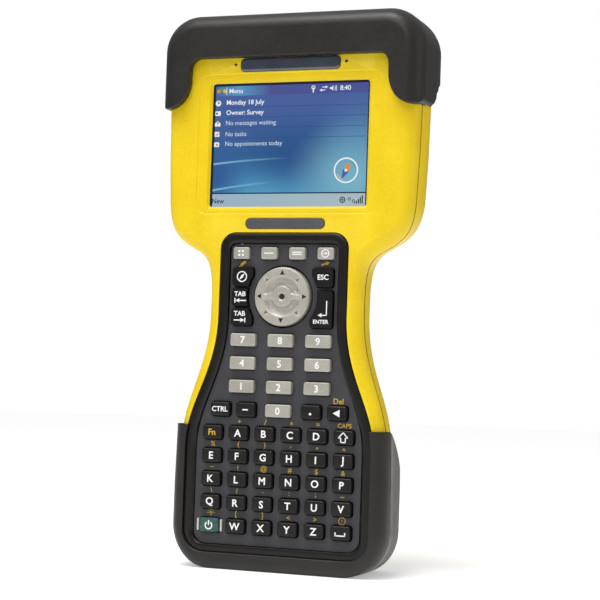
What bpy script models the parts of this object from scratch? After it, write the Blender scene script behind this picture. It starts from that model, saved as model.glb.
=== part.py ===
"""Rugged handheld data collector: a survey field computer with a screen head, a waisted grip and a full keypad.

Metres, +Z up the instrument, -Y is its front, +X its right side. The origin is under the middle of its flat foot.
"""

import math

import bmesh
import bpy
from mathutils import Vector, geometry

# Overall sizes
LENGTH = 0.2602  # flat foot to the top of the bumper
HEAD_WIDTH = 0.129  # across the top bumper
GRIP_WIDTH = 0.0752  # across the waist, where the hand goes
FOOT_WIDTH = 0.1056  # across the boot
DEPTH = 0.048  # front of the bumper to its back
GAP = 0.0003  # between pieces that touch

# Housing
WALL = 0.0022
BUMPER_WALL = 0.0019  # bumper rubber beside the head
BUMPER_TOP_WALL = 0.0036
BOOT_WALL = 0.0022
BASE_Z = 0.003  # underside of the housing, inside the boots
FOOT_CORNER = 0.0185
HEAD_CORNER = 0.017
FOOT_SIDE_TOP_Z = 0.056  # the sides of the foot run straight up to here
WAIST_LOW_Z = 0.118  # and the waist begins here
WAIST_HIGH_DROP = 0.1362  # from the top down to where the shoulder begins to spread
NECK_DROP = 0.1122
SHOULDER_DROP = 0.0882
HEAD_DROP = 0.046
BOOT_TOP_Z = 0.0665

# Depths, measured from the front of the bumper
HOUSING_FRONT = 0.0047
SEAM = 0.0125
HOUSING_REAR = 0.0025  # from the rear of the bumper
BOOT_FRONT = 0.0029

# Screen
SCREEN_WIDTH = 0.0772
SCREEN_HEIGHT = 0.0579
SCREEN_DROP = 0.0623  # top of the bumper to the middle of the screen
SCREEN_CHAMFER = 0.0023
PANEL_LIP = 0.0024  # how far the touch panel runs under the housing
PANEL_DEPTH = 0.0017  # housing face to the touch panel
PANEL_THICKNESS = 0.0011
DISPLAY_THICKNESS = 0.0043
BADGE_WIDTH, BADGE_HEIGHT, BADGE_DROP = 0.0492, 0.0063, 0.0247
NAME_WIDTH, NAME_HEIGHT, NAME_DROP = 0.0390, 0.0047, 0.0994
PLATE_SINK = 0.0007  # depth of the recess under a small plate

# Keypad
BEZEL_TOP_Z = 0.1564
BEZEL_BASE_Z = 0.0070
BEZEL_WAIST_MARGIN = 0.0062  # side of the grip to the bezel
BEZEL_FOOT_MARGIN = 0.0066  # side of the boot to the bezel
RIM_WAIST = 0.0048
RIM_FOOT = 0.0056
RIM_TOP = 0.0052
RIM_BASE = 0.0045
BEZEL_PROUD = 0.0005
BEZEL_THICKNESS = 0.0044
PLATE_BELOW_KEYS = 0.0024
PLATE_THICKNESS = 0.0015
KEY_PROUD = 0.0012  # key tops over the housing face
KEY_THICKNESS = 0.0048
KEY_TRAVEL = 0.0012
KEY_CORNER = 0.0012
KEY_CLEARANCE = 0.0004
DIGIT_WIDTH, DIGIT_HEIGHT = 0.0126, 0.0060
LETTER_WIDTH, LETTER_HEIGHT = 0.0097, 0.0067
SOFT_WIDTH, SOFT_HEIGHT = 0.0080, 0.0056
DIGIT_PITCH_X, DIGIT_PITCH_Z = 0.0185, 0.0108
LETTER_PITCH_X, LETTER_PITCH_Z = 0.0129, 0.01078
SOFT_PITCH = 0.01386
LETTER_BASE_Z = 0.0201  # middle of the lowest row of keys
DIGIT_BASE_Z = 0.0741  # middle of the row with the zero
SIDE_KEY_X = (-0.0287, -0.016, 0.016, 0.0287)
SOFT_Z = 0.1469
WEB_HEIGHT = 0.0026  # strip that joins a row of letter keys
WEB_THICKNESS = 0.0008
MAT_THICKNESS = 0.0012
MAT_MARGIN = 0.0004
BOARD_THICKNESS = 0.0014
BOARD_MARGIN = 0.0016

# Navigation pad
PAD_RADIUS = 0.0138
PAD_Z = 0.1269
PAD_CLEARANCE = 0.0008
PAD_KEY_GAP = 0.0036  # pad rim to the keys curved around it
PAD_THICKNESS = 0.0040
GIMBAL_WIDTH, GIMBAL_THICKNESS = 0.005, 0.001

# Battery, in a bay in the back of the grip
BATTERY_WIDTH = 0.040
BATTERY_BASE_Z = 0.0740
BATTERY_TOP_Z = 0.1480
BATTERY_DEPTH = 0.0180
BATTERY_END = 0.0100  # solid end of the case, round each screw
BATTERY_WALL = 0.0012
BAY_WALL = 0.0018
SCREW_HEAD_RADIUS, SCREW_HEAD_HEIGHT = 0.0036, 0.0018
SCREW_SHANK_RADIUS = 0.0019
SHANK_CLEARANCE = 0.0004

# Ports, in a well in the foot
WELL_WIDTH = 0.066
WELL_FRONT_Y, WELL_REAR_Y = -0.0010, 0.0130
WELL_TOP_Z = 0.0090
WELL_WALL = 0.0030
SERIAL_X, SERIAL_WIDTH, SERIAL_HEIGHT = -0.0130, 0.0246, 0.0084
USB_X, USB_WIDTH, USB_HEIGHT = 0.0120, 0.0124, 0.0056
JACK_X, JACK_RADIUS, JACK_BORE = 0.0265, 0.0040, 0.0026
PORT_FACE_Z = 0.0060
PORT_LENGTH = 0.0140
SOCKET_DEPTH = 0.0038

# Stylus, in a bore at the right of the head
STYLUS_X, STYLUS_Y = 0.0410, 0.0030
STYLUS_RADIUS = 0.0027
STYLUS_LENGTH = 0.0960
STYLUS_BORE_CLEARANCE = 0.0005
STYLUS_TUBE_WALL = 0.0013

# Inside
BOARD_HEAD_MARGIN = 0.0185  # side of the head to the main board
BOARD_WAIST_MARGIN = 0.016
BOARD_END_MARGIN = 0.018
MAIN_BOARD_FRONT_Y = -0.0060
HOUSING_SCREW_X = GRIP_WIDTH / 2 + 0.0004  # where the rear shell curves in to meet its boss
HOUSING_SCREW_DROP = 0.1042
HOUSING_SCREW_RADIUS = 0.0015
BOSS_RADIUS = 0.0042
SEAL_THICKNESS = 0.0012
SEAL_HALF_DEPTH = 0.0010
SPEAKER_RADIUS = 0.0135
SPEAKER_THICKNESS = 0.0055
SPEAKER_DROP = 0.043

FRONT_Y = -DEPTH / 2
SEAM_Y = FRONT_Y + SEAM
HOUSING_FRONT_Y = FRONT_Y + HOUSING_FRONT
HOUSING_REAR_Y = DEPTH / 2 - HOUSING_REAR
KEY_TOP_Y = HOUSING_FRONT_Y - KEY_PROUD
KEY_BACK_Y = KEY_TOP_Y + KEY_THICKNESS
PLATE_FRONT_Y = KEY_TOP_Y + PLATE_BELOW_KEYS
PLATE_BACK_Y = PLATE_FRONT_Y + PLATE_THICKNESS
BEZEL_FRONT_Y = HOUSING_FRONT_Y - BEZEL_PROUD
BEZEL_BACK_Y = BEZEL_FRONT_Y + BEZEL_THICKNESS
MAT_FRONT_Y = KEY_BACK_Y + KEY_TRAVEL + GAP
BOARD_FRONT_Y = MAT_FRONT_Y + MAT_THICKNESS + GAP
PANEL_Y = HOUSING_FRONT_Y + PANEL_DEPTH
DISPLAY_Y = PANEL_Y + PANEL_THICKNESS + GAP
SCREEN_Z = LENGTH - SCREEN_DROP
BEZEL_WAIST = GRIP_WIDTH / 2 - BEZEL_WAIST_MARGIN
BEZEL_FOOT = FOOT_WIDTH / 2 - BEZEL_FOOT_MARGIN
LETTER_ROWS = ("fn_to_shift_keys", "e_to_j_keys", "k_to_p_keys", "q_to_v_keys", "w_to_space_keys")

# How the housing's two faces close in: the share of the inset and of the rise that each ring takes.
FRONT_INSET, REAR_INSET = 0.006, 0.0125
FRONT_RINGS = ((0.03, 0.13), (0.10, 0.31), (0.20, 0.27), (0.32, 0.19), (0.35, 0.10))
REAR_RINGS = ((0.03, 0.18), (0.09, 0.18), (0.14, 0.15), (0.20, 0.15), (0.23, 0.15), (0.19, 0.11), (0.12, 0.08))
FRONT_HOLLOW_RINGS = ((0.10, 0.40), (0.35, 0.40), (0.35, 0.20))
REAR_HOLLOW_RINGS = ((0.10, 0.36), (0.28, 0.30), (0.42, 0.34))
BUMPER_RINGS = ((0.05, 0.30), (0.12, 0.23), (0.20, 0.21), (0.28, 0.16), (0.35, 0.10))
BOOT_REAR_RINGS = ((0.02, 0.20), (0.05, 0.22), (0.10, 0.18), (0.17, 0.15), (0.24, 0.12), (0.25, 0.08), (0.17, 0.05))
FRONT_FOOT_RINGS, REAR_FOOT_RINGS = 3, 5  # rings of each boot that keep its foot flat

YELLOW = ((0.88, 0.66, 0.02), 0.45, 0.0)
BLACK_RUBBER = ((0.045, 0.043, 0.040), 0.7, 0.0)
DARK_PLASTIC = ((0.16, 0.155, 0.145), 0.6, 0.0)
PLATE_GREY = ((0.075, 0.075, 0.085), 0.55, 0.0)
SILVER_KEY = ((0.45, 0.43, 0.37), 0.4, 0.0)
BLACK_KEY = ((0.012, 0.011, 0.010), 0.35, 0.0)
GREEN_KEY = ((0.02, 0.22, 0.11), 0.5, 0.0)
PANEL_BLUE = ((0.05, 0.14, 0.38), 0.15, 0.0)
BADGE_BLUE = ((0.05, 0.06, 0.08), 0.25, 0.2)
BOARD_GREEN = ((0.03, 0.16, 0.07), 0.5, 0.0)
STEEL = ((0.55, 0.55, 0.56), 0.3, 1.0)
ALUMINIUM = ((0.7, 0.7, 0.72), 0.4, 1.0)

parts = None
cutters = None


# ---------- outlines, as lists of (x, z) ----------


def arc(centre_x, centre_z, radius, start, end, steps):
    """Points on a circle from one angle to another, in degrees from +X towards +Z."""
    angles = [math.radians(start + (end - start) * i / steps) for i in range(steps + 1)]
    return [(centre_x + radius * math.cos(a), centre_z + radius * math.sin(a)) for a in angles]


def bezier(a, b, c, d, steps):
    """Points from a to just before d along a cubic curve."""
    curve = geometry.interpolate_bezier(Vector(a), Vector(b), Vector(c), Vector(d), steps + 1)
    return [(p.x, p.y) for p in curve[:-1]]


def both_sides(half):
    """A closed outline from its right half, which runs up from the foot."""
    return half + [(-x, z) for x, z in reversed(half)]


def housing_outline():
    foot = FOOT_WIDTH / 2 - BOOT_WALL
    waist = GRIP_WIDTH / 2
    head = HEAD_WIDTH / 2 - BUMPER_WALL
    top = LENGTH - BUMPER_TOP_WALL
    neck = (waist + 0.0076, LENGTH - NECK_DROP)
    half = arc(foot - FOOT_CORNER, BASE_Z + FOOT_CORNER, FOOT_CORNER, -90, 0, 4)
    half += bezier(
        (foot, FOOT_SIDE_TOP_Z), (foot - 0.0004, FOOT_SIDE_TOP_Z + 0.024),
        (waist + 0.0004, WAIST_LOW_Z - 0.026), (waist, WAIST_LOW_Z), 6)
    half += bezier(
        (waist, LENGTH - WAIST_HIGH_DROP), (waist - 0.0002, neck[1] - 0.007),
        (neck[0] - 0.0056, neck[1] - 0.0035), neck, 4)
    half += bezier(
        neck, (head - 0.0072, neck[1] + 0.0054),
        (head - 0.0026, neck[1] + 0.0085), (head - 0.0018, LENGTH - SHOULDER_DROP), 5)
    half += [(head - 0.0018, LENGTH - SHOULDER_DROP), (head, LENGTH - HEAD_DROP)]
    half += arc(head - HEAD_CORNER, top - HEAD_CORNER, HEAD_CORNER, 0, 90, 5)
    return both_sides(half)


def boot_outline():
    """The boot's outline, which runs on above its top edge and is cut off there."""
    side = FOOT_WIDTH / 2
    half = arc(side - 0.020, 0.020, 0.020, -90, 0, 5)
    half += [(side, 0.040), (side - 0.0006, BOOT_TOP_Z), (side - 0.0010, BOOT_TOP_Z + 0.015)]
    return both_sides(half)


def bumper_outline():
    """The top bumper's outline, which runs on below its legs and is cut off there."""
    side = HEAD_WIDTH / 2
    corner = 0.0175
    half = [(side - 0.0004, LENGTH - 0.075), (side, LENGTH - 0.040)]
    half += arc(side - corner, LENGTH - corner, corner, 0, 90, 5)
    return both_sides(half)


def keypad_outline(foot, waist, base, top, base_corner, top_corner):
    """A long panel that follows the grip: wide at the foot, narrow at the waist."""
    half = arc(foot - base_corner, base + base_corner, base_corner, -90, 0, 3)
    half += bezier(
        (foot, FOOT_SIDE_TOP_Z), (foot, FOOT_SIDE_TOP_Z + 0.021),
        (waist, WAIST_LOW_Z - 0.028), (waist, WAIST_LOW_Z), 6)
    half += arc(waist - top_corner, top - top_corner, top_corner, 0, 90, 3)
    return both_sides(half)


def bezel_outline():
    return keypad_outline(BEZEL_FOOT, BEZEL_WAIST, BEZEL_BASE_Z, BEZEL_TOP_Z, 0.0105, 0.0075)


def plate_outline():
    return keypad_outline(
        BEZEL_FOOT - RIM_FOOT, BEZEL_WAIST - RIM_WAIST,
        BEZEL_BASE_Z + RIM_BASE, BEZEL_TOP_Z - RIM_TOP, 0.0060, 0.0030)


def rounded_rectangle(x, z, width, height, corner, steps=1):
    right, top = width / 2 - corner, height / 2 - corner
    points = []
    for turn, (side, level) in enumerate(((1, 1), (-1, 1), (-1, -1), (1, -1))):
        start = 90 * turn
        points += arc(x + side * right, z + level * top, corner, start, start + 90, steps)
    return points


def moved_out(outline, distance):
    """The outline with every edge moved outwards by the same distance, or inwards when it is negative."""
    count = len(outline)
    area = sum(
        outline[i - 1][0] * outline[i][1] - outline[i][0] * outline[i - 1][1] for i in range(count))
    distance = math.copysign(distance, distance * area)
    result = []
    for i, here in enumerate(outline):
        before = Vector(here) - Vector(outline[i - 1])
        after = Vector(outline[(i + 1) % count]) - Vector(here)
        first = Vector((before.y, -before.x)).normalized()
        second = Vector((after.y, -after.x)).normalized()
        step = (first + second) * distance / (1 + first.dot(second))
        result.append((here[0] + step.x, here[1] + step.y))
    return result


def subdivided(outline, longest):
    """The outline with its long edges split, so that it can be bent."""
    result = []
    for i, here in enumerate(outline):
        following = outline[(i + 1) % len(outline)]
        length = math.dist(here, following)
        steps = max(1, math.ceil(length / longest))
        for step in range(steps):
            share = step / steps
            result.append(tuple(a + (b - a) * share for a, b in zip(here, following)))
    return result


def clear_of_pad(outline, radius):
    """The outline with the part that reaches too near the navigation pad pushed back onto a circle round it."""
    result = []
    for x, z in subdivided(outline, 0.0028):
        distance = math.hypot(x, z - PAD_Z)
        if distance < radius:
            x, z = x * radius / distance, PAD_Z + (z - PAD_Z) * radius / distance
        result.append((x, z))
    return result


def scaled_rings(shares, inset, rise):
    return [(inset * a, rise * b) for a, b in shares]


# ---------- making objects ----------


def finish(name, look):
    colour, roughness, metallic = look
    material = bpy.data.materials.new(name + "_finish")
    material.use_nodes = True
    shader = material.node_tree.nodes["Principled BSDF"]
    shader.inputs["Base Color"].default_value = (*colour, 1.0)
    shader.inputs["Roughness"].default_value = roughness
    shader.inputs["Metallic"].default_value = metallic
    material.diffuse_color = (*colour, 1.0)
    return material


def add_object(name, bm, look=None, origin=(0.0, 0.0, 0.0)):
    """An object from a bmesh in world coordinates. One with no look is a cutter."""
    bmesh.ops.recalc_face_normals(bm, faces=bm.faces)
    bmesh.ops.translate(bm, vec=-Vector(origin), verts=bm.verts)
    mesh = bpy.data.meshes.new(name)
    bm.to_mesh(mesh)
    bm.free()
    piece = bpy.data.objects.new(name, mesh)
    piece.location = origin
    if look is None:
        cutters.objects.link(piece)
        piece.hide_render = True
        piece.display_type = "WIRE"
        return piece
    parts.objects.link(piece)
    mesh.materials.append(finish(name, look))
    mesh.shade_smooth()
    mesh.set_sharp_from_angle(angle=math.radians(34))
    return piece


def slab_mesh(bm, outline, near_y, far_y, front=(), rear=(), foot_rings=0):
    """A plate between two planes, whose front and rear faces close in by rings of (inset, rise)."""
    face = bm.faces.new([bm.verts.new((x, near_y, z)) for x, z in outline])
    made = bmesh.ops.extrude_face_region(bm, geom=[face], use_keep_orig=True)
    far = [item for item in made["geom"] if isinstance(item, bmesh.types.BMVert)]
    far_face = next(item for item in made["geom"] if isinstance(item, bmesh.types.BMFace))
    bmesh.ops.translate(bm, vec=(0, far_y - near_y, 0), verts=far)
    bmesh.ops.recalc_face_normals(bm, faces=bm.faces)
    for cap, rings, towards in ((face, front, -1), (far_face, rear, 1)):
        for number, (inset, rise) in enumerate(rings):
            bmesh.ops.inset_region(bm, faces=[cap], thickness=inset, depth=0, use_even_offset=True)
            bmesh.ops.translate(bm, vec=(0, rise * towards, 0), verts=cap.verts)
            if number < foot_rings:
                level_foot(cap, inset)


def level_foot(cap, inset):
    """Brings the lowest edge of a ring back down to the floor, and the corners above it in proportion."""
    floor = min(vertex.co.z for vertex in cap.verts) - inset
    height = 0.020
    for vertex in cap.verts:
        above = vertex.co.z - floor
        if above < height:
            vertex.co.z = floor + height * (above - inset) / (height - inset)


def slab(name, outline, near_y, far_y, look=None, **rings):
    bm = bmesh.new()
    slab_mesh(bm, outline, near_y, far_y, **rings)
    return add_object(name, bm, look)


def box_mesh(bm, low, high):
    made = bmesh.ops.create_cube(bm, size=1.0)
    size = Vector(high) - Vector(low)
    bmesh.ops.scale(bm, vec=size, verts=made["verts"])
    bmesh.ops.translate(bm, vec=(Vector(high) + Vector(low)) / 2, verts=made["verts"])


def box(name, low, high, look=None, bevel=0.0):
    bm = bmesh.new()
    box_mesh(bm, low, high)
    if bevel:
        bmesh.ops.bevel(
            bm, geom=bm.edges[:], offset=bevel, segments=1, profile=0.5, affect="EDGES", clamp_overlap=True)
    return add_object(name, bm, look)


def rod(name, start, end, radius, look=None, segments=20):
    """A round bar between two points, for bosses, bores and shanks."""
    start, end = Vector(start), Vector(end)
    direction = end - start
    bm = bmesh.new()
    made = bmesh.ops.create_cone(
        bm, cap_ends=True, segments=segments, radius1=radius, radius2=radius, depth=direction.length)
    turn = Vector((0, 0, 1)).rotation_difference(direction)
    bmesh.ops.rotate(bm, verts=made["verts"], cent=(0, 0, 0), matrix=turn.to_matrix())
    bmesh.ops.translate(bm, verts=made["verts"], vec=(start + end) / 2)
    return add_object(name, bm, look)


def turned(name, profile, look, location, rotation=(0.0, 0.0, 0.0), steps=24):
    """A turned piece: its profile of (radius, height) starts and ends on the axis and runs down the outside."""
    mesh = bpy.data.meshes.new(name)
    points = [(radius, 0.0, height) for radius, height in profile]
    mesh.from_pydata(points, [(i, i + 1) for i in range(len(points) - 1)], [])
    piece = bpy.data.objects.new(name, mesh)
    parts.objects.link(piece)
    mesh.materials.append(finish(name, look))
    piece.location = location
    piece.rotation_euler = rotation
    screw = piece.modifiers.new("Turn", "SCREW")
    screw.axis = "Z"
    screw.steps = steps
    screw.render_steps = steps
    screw.use_merge_vertices = True
    screw.merge_threshold = 0.00001
    screw.use_smooth_shade = True
    return piece


def combine(piece, other, operation="DIFFERENCE"):
    modifier = piece.modifiers.new(operation.title() + " " + other.name, "BOOLEAN")
    modifier.operation = operation
    modifier.solver = "EXACT"
    modifier.object = other


# ---------- housings, bumper and boots ----------


def housing_slab(name, grow, near_y, far_y):
    """The outside of both housings as one solid, grown by a clearance."""
    return slab(
        name, moved_out(housing_outline(), grow), near_y - grow, far_y + grow,
        front=scaled_rings(FRONT_RINGS, FRONT_INSET, SEAM - HOUSING_FRONT),
        rear=scaled_rings(REAR_RINGS, REAR_INSET, HOUSING_REAR_Y - SEAM_Y))


def inner_slab(name, side):
    """The hollow of one housing, a wall inside its outside, open across the seam."""
    outline = moved_out(housing_outline(), -WALL)
    if side == "front":
        depth = SEAM - HOUSING_FRONT - WALL
        rings = scaled_rings(FRONT_HOLLOW_RINGS, FRONT_INSET, depth)
        return slab(name, outline, SEAM_Y, SEAM_Y + 0.002, front=rings)
    depth = HOUSING_REAR_Y - SEAM_Y - WALL
    rings = scaled_rings(REAR_HOLLOW_RINGS, REAR_INSET, depth)
    return slab(name, outline, SEAM_Y - 0.002, SEAM_Y, rear=rings)


def add_front_housing():
    rings = scaled_rings(FRONT_RINGS, FRONT_INSET, SEAM - HOUSING_FRONT - GAP / 2 - 0.0004)
    near = SEAM_Y - GAP / 2 - 0.0004
    housing = slab("front_housing", housing_outline(), near, SEAM_Y - GAP / 2, YELLOW, front=rings)
    combine(housing, inner_slab("front_hollow", "front"))
    for side in (-1, 1):
        boss = rod(
            "front_boss" + str(side), (side * HOUSING_SCREW_X, HOUSING_FRONT_Y + WALL - 0.0005, screw_z()),
            (side * HOUSING_SCREW_X, SEAM_Y - GAP, screw_z()), BOSS_RADIUS - 0.0007)
        combine(housing, boss, "UNION")
        hole = rod(
            "front_boss_hole" + str(side), (side * HOUSING_SCREW_X, HOUSING_FRONT_Y + WALL, screw_z()),
            (side * HOUSING_SCREW_X, SEAM_Y, screw_z()), HOUSING_SCREW_RADIUS + GAP)
        combine(housing, hole)
    bm = bmesh.new()
    window = rounded_rectangle(0, SCREEN_Z, SCREEN_WIDTH, SCREEN_HEIGHT, 0.001)
    outside = rounded_rectangle(
        0, SCREEN_Z, SCREEN_WIDTH + 2 * SCREEN_CHAMFER, SCREEN_HEIGHT + 2 * SCREEN_CHAMFER, 0.003)
    slab_mesh(bm, outside, HOUSING_FRONT_Y - 0.001, HOUSING_FRONT_Y, rear=[(SCREEN_CHAMFER, PANEL_DEPTH - GAP)])
    combine(housing, add_object("screen_chamfer", bm))
    combine(housing, slab("screen_window", window, HOUSING_FRONT_Y, SEAM_Y))
    pocket = moved_out(panel_outline(), GAP)
    combine(housing, slab("panel_pocket", pocket, PANEL_Y - GAP, SEAM_Y))
    combine(housing, slab("keypad_opening", moved_out(bezel_outline(), GAP), FRONT_Y, SEAM_Y))
    for name, outline in (("badge", badge_outline()), ("name", name_outline())):
        recess = slab(name + "_recess", moved_out(outline, GAP), FRONT_Y, HOUSING_FRONT_Y + PLATE_SINK)
        combine(housing, recess)


def screw_z():
    return LENGTH - HOUSING_SCREW_DROP


def add_rear_housing():
    rings = scaled_rings(REAR_RINGS, REAR_INSET, HOUSING_REAR_Y - SEAM_Y - GAP / 2 - 0.0004)
    far = SEAM_Y + GAP / 2 + 0.0004
    housing = slab("rear_housing", housing_outline(), SEAM_Y + GAP / 2, far, YELLOW, rear=rings)
    combine(housing, inner_slab("rear_hollow", "rear"))
    add_battery_bay(housing)
    add_port_well(housing)
    for side in (-1, 1):
        x = side * HOUSING_SCREW_X
        boss = rod(
            "rear_boss" + str(side), (x, SEAM_Y + GAP, screw_z()), (x, rear_boss_y(), screw_z()), BOSS_RADIUS)
        combine(housing, boss, "UNION")
        recess = rod(
            "screw_recess" + str(side), (x, screw_seat_y(), screw_z()), (x, DEPTH, screw_z()),
            BOSS_RADIUS - 0.0012)
        combine(housing, recess)
        hole = rod(
            "screw_hole" + str(side), (x, FRONT_Y, screw_z()), (x, DEPTH, screw_z()),
            HOUSING_SCREW_RADIUS + GAP)
        combine(housing, hole)
    add_speaker_grille(housing)
    add_stylus_tube(housing)


def rear_boss_y():
    return HOUSING_REAR_Y - 0.0090


def screw_seat_y():
    return HOUSING_REAR_Y - 0.0125


def add_battery_bay(housing):
    half = BATTERY_WIDTH / 2 + GAP
    front = HOUSING_REAR_Y - BATTERY_DEPTH - GAP
    low_z, high_z = BATTERY_BASE_Z - GAP, BATTERY_TOP_Z + GAP
    walls = box(
        "bay_walls", (-half - BAY_WALL, front - BAY_WALL, low_z - BAY_WALL),
        (half + BAY_WALL, HOUSING_REAR_Y - WALL / 2, high_z + BAY_WALL))
    combine(housing, walls, "UNION")
    combine(housing, box("bay_hollow", (-half, front, low_z), (half, DEPTH, high_z)))
    for number, z in enumerate(battery_screw_heights()):
        hole = rod(
            "bay_screw_hole" + str(number), (0, front - 2 * BAY_WALL, z), (0, front + BAY_WALL, z),
            SCREW_SHANK_RADIUS + SHANK_CLEARANCE)
        combine(housing, hole)


def port_well_box(name):
    half = WELL_WIDTH / 2
    return box(name, (-half, WELL_FRONT_Y, -0.010), (half, WELL_REAR_Y, WELL_TOP_Z))


def port_well_walls(name, grow):
    half = WELL_WIDTH / 2 + WELL_WALL + grow
    low = (-half, WELL_FRONT_Y - WELL_WALL - grow, BASE_Z + WALL / 2 - grow)
    return box(name, low, (half, WELL_REAR_Y + WELL_WALL + grow, WELL_TOP_Z + WELL_WALL + grow))


def add_port_well(housing):
    combine(housing, port_well_walls("well_walls", 0.0), "UNION")
    combine(housing, port_well_box("well_in_housing"))
    middle = (WELL_FRONT_Y + WELL_REAR_Y) / 2
    high = WELL_TOP_Z + 2 * WELL_WALL
    for name, x, width, height in (
            ("serial", SERIAL_X, SERIAL_WIDTH, SERIAL_HEIGHT), ("usb", USB_X, USB_WIDTH, USB_HEIGHT)):
        across, through = width / 2 + GAP, height / 2 + GAP
        hole = box(
            name + "_hole", (x - across, middle - through, WELL_TOP_Z - 0.001), (x + across, middle + through, high))
        combine(housing, hole)
    jack = rod("jack_hole", (JACK_X, middle, WELL_TOP_Z - 0.001), (JACK_X, middle, high), JACK_RADIUS + GAP)
    combine(housing, jack)


def add_speaker_grille(housing):
    bm = bmesh.new()
    pitch = 0.0034
    for number in range(5):
        z = LENGTH - SPEAKER_DROP + (number - 2) * pitch
        reach = 0.010 - 0.0012 * abs(number - 2)
        box_mesh(bm, (-reach, HOUSING_REAR_Y - 2 * WALL, z - 0.0007), (reach, DEPTH, z + 0.0007))
    combine(housing, add_object("speaker_grille", bm))


def add_stylus_tube(housing):
    top = LENGTH - BUMPER_TOP_WALL
    outer = STYLUS_RADIUS + STYLUS_BORE_CLEARANCE + STYLUS_TUBE_WALL
    base = stylus_base_z() - 2 * STYLUS_TUBE_WALL
    crown = 0.0060  # the housing's top is this much lower behind the tube
    tube = rod("stylus_tube", (STYLUS_X, STYLUS_Y, base), (STYLUS_X, STYLUS_Y, top - crown), outer, segments=16)
    combine(housing, tube, "UNION")
    combine(housing, stylus_bore("stylus_bore_housing"))


def stylus_base_z():
    return LENGTH - 0.0012 - STYLUS_LENGTH


def stylus_bore(name):
    radius = STYLUS_RADIUS + STYLUS_BORE_CLEARANCE
    low = (STYLUS_X, STYLUS_Y, stylus_base_z() - GAP)
    return rod(name, low, (STYLUS_X, STYLUS_Y, LENGTH + 0.01), radius, segments=16)


def add_bumper():
    front = scaled_rings(BUMPER_RINGS, 0.0080, DEPTH / 2 - 0.0140)
    rear = scaled_rings(BUMPER_RINGS, 0.0100, DEPTH / 2 - 0.0040)
    bumper = slab(
        "top_bumper", bumper_outline(), -0.0140, 0.0040, BLACK_RUBBER, front=front, rear=rear)
    combine(bumper, housing_slab("housing_in_bumper", GAP, SEAM_Y, SEAM_Y))
    leg_inner = HEAD_WIDTH / 2 - 0.0155
    leg_z = LENGTH - 0.0452
    notch_top = LENGTH - 0.0216
    half = [(HEAD_WIDTH / 2 + 0.003, leg_z - 0.02), (HEAD_WIDTH / 2 + 0.003, leg_z + 0.0075)]
    half += bezier(
        (HEAD_WIDTH / 2, leg_z + 0.0035), (HEAD_WIDTH / 2 - 0.0004, leg_z + 0.0014),
        (HEAD_WIDTH / 2 - 0.0016, leg_z), (HEAD_WIDTH / 2 - 0.0045, leg_z), 4)
    half += bezier(
        (HEAD_WIDTH / 2 - 0.0045, leg_z), (leg_inner + 0.0065, leg_z),
        (leg_inner + 0.0005, leg_z + 0.004), (leg_inner, leg_z + 0.014), 6)
    half += arc(leg_inner - 0.005, notch_top - 0.005, 0.005, 0, 90, 3)
    notch = both_sides(half)
    combine(bumper, slab("front_notch", notch, FRONT_Y - 0.01, 0.0045))
    raised = [(x, z + 0.007) for x, z in notch]
    combine(bumper, slab("rear_notch", raised, 0.004, DEPTH))
    profile = [(FRONT_Y - 0.01, leg_z - 0.04), (FRONT_Y - 0.01, leg_z)]
    profile += bezier((SEAM_Y, leg_z), (-0.002, leg_z), (0.004, leg_z + 0.0045), (0.008, leg_z + 0.0120), 6)
    profile += [(0.008, leg_z + 0.0120), (DEPTH, leg_z + 0.0180), (DEPTH, leg_z - 0.04)]
    combine(bumper, cut_across("leg_underside", profile))
    combine(bumper, stylus_bore("stylus_bore_bumper"))


def cut_across(name, profile):
    """A solid of one outline of (y, z), run from side to side past the instrument."""
    bm = bmesh.new()
    side = bm.faces.new([bm.verts.new((-HEAD_WIDTH, y, z)) for y, z in profile])
    made = bmesh.ops.extrude_face_region(bm, geom=[side], use_keep_orig=True)
    moved = [item for item in made["geom"] if isinstance(item, bmesh.types.BMVert)]
    bmesh.ops.translate(bm, vec=(2 * HEAD_WIDTH, 0, 0), verts=moved)
    return add_object(name, bm)


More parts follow.
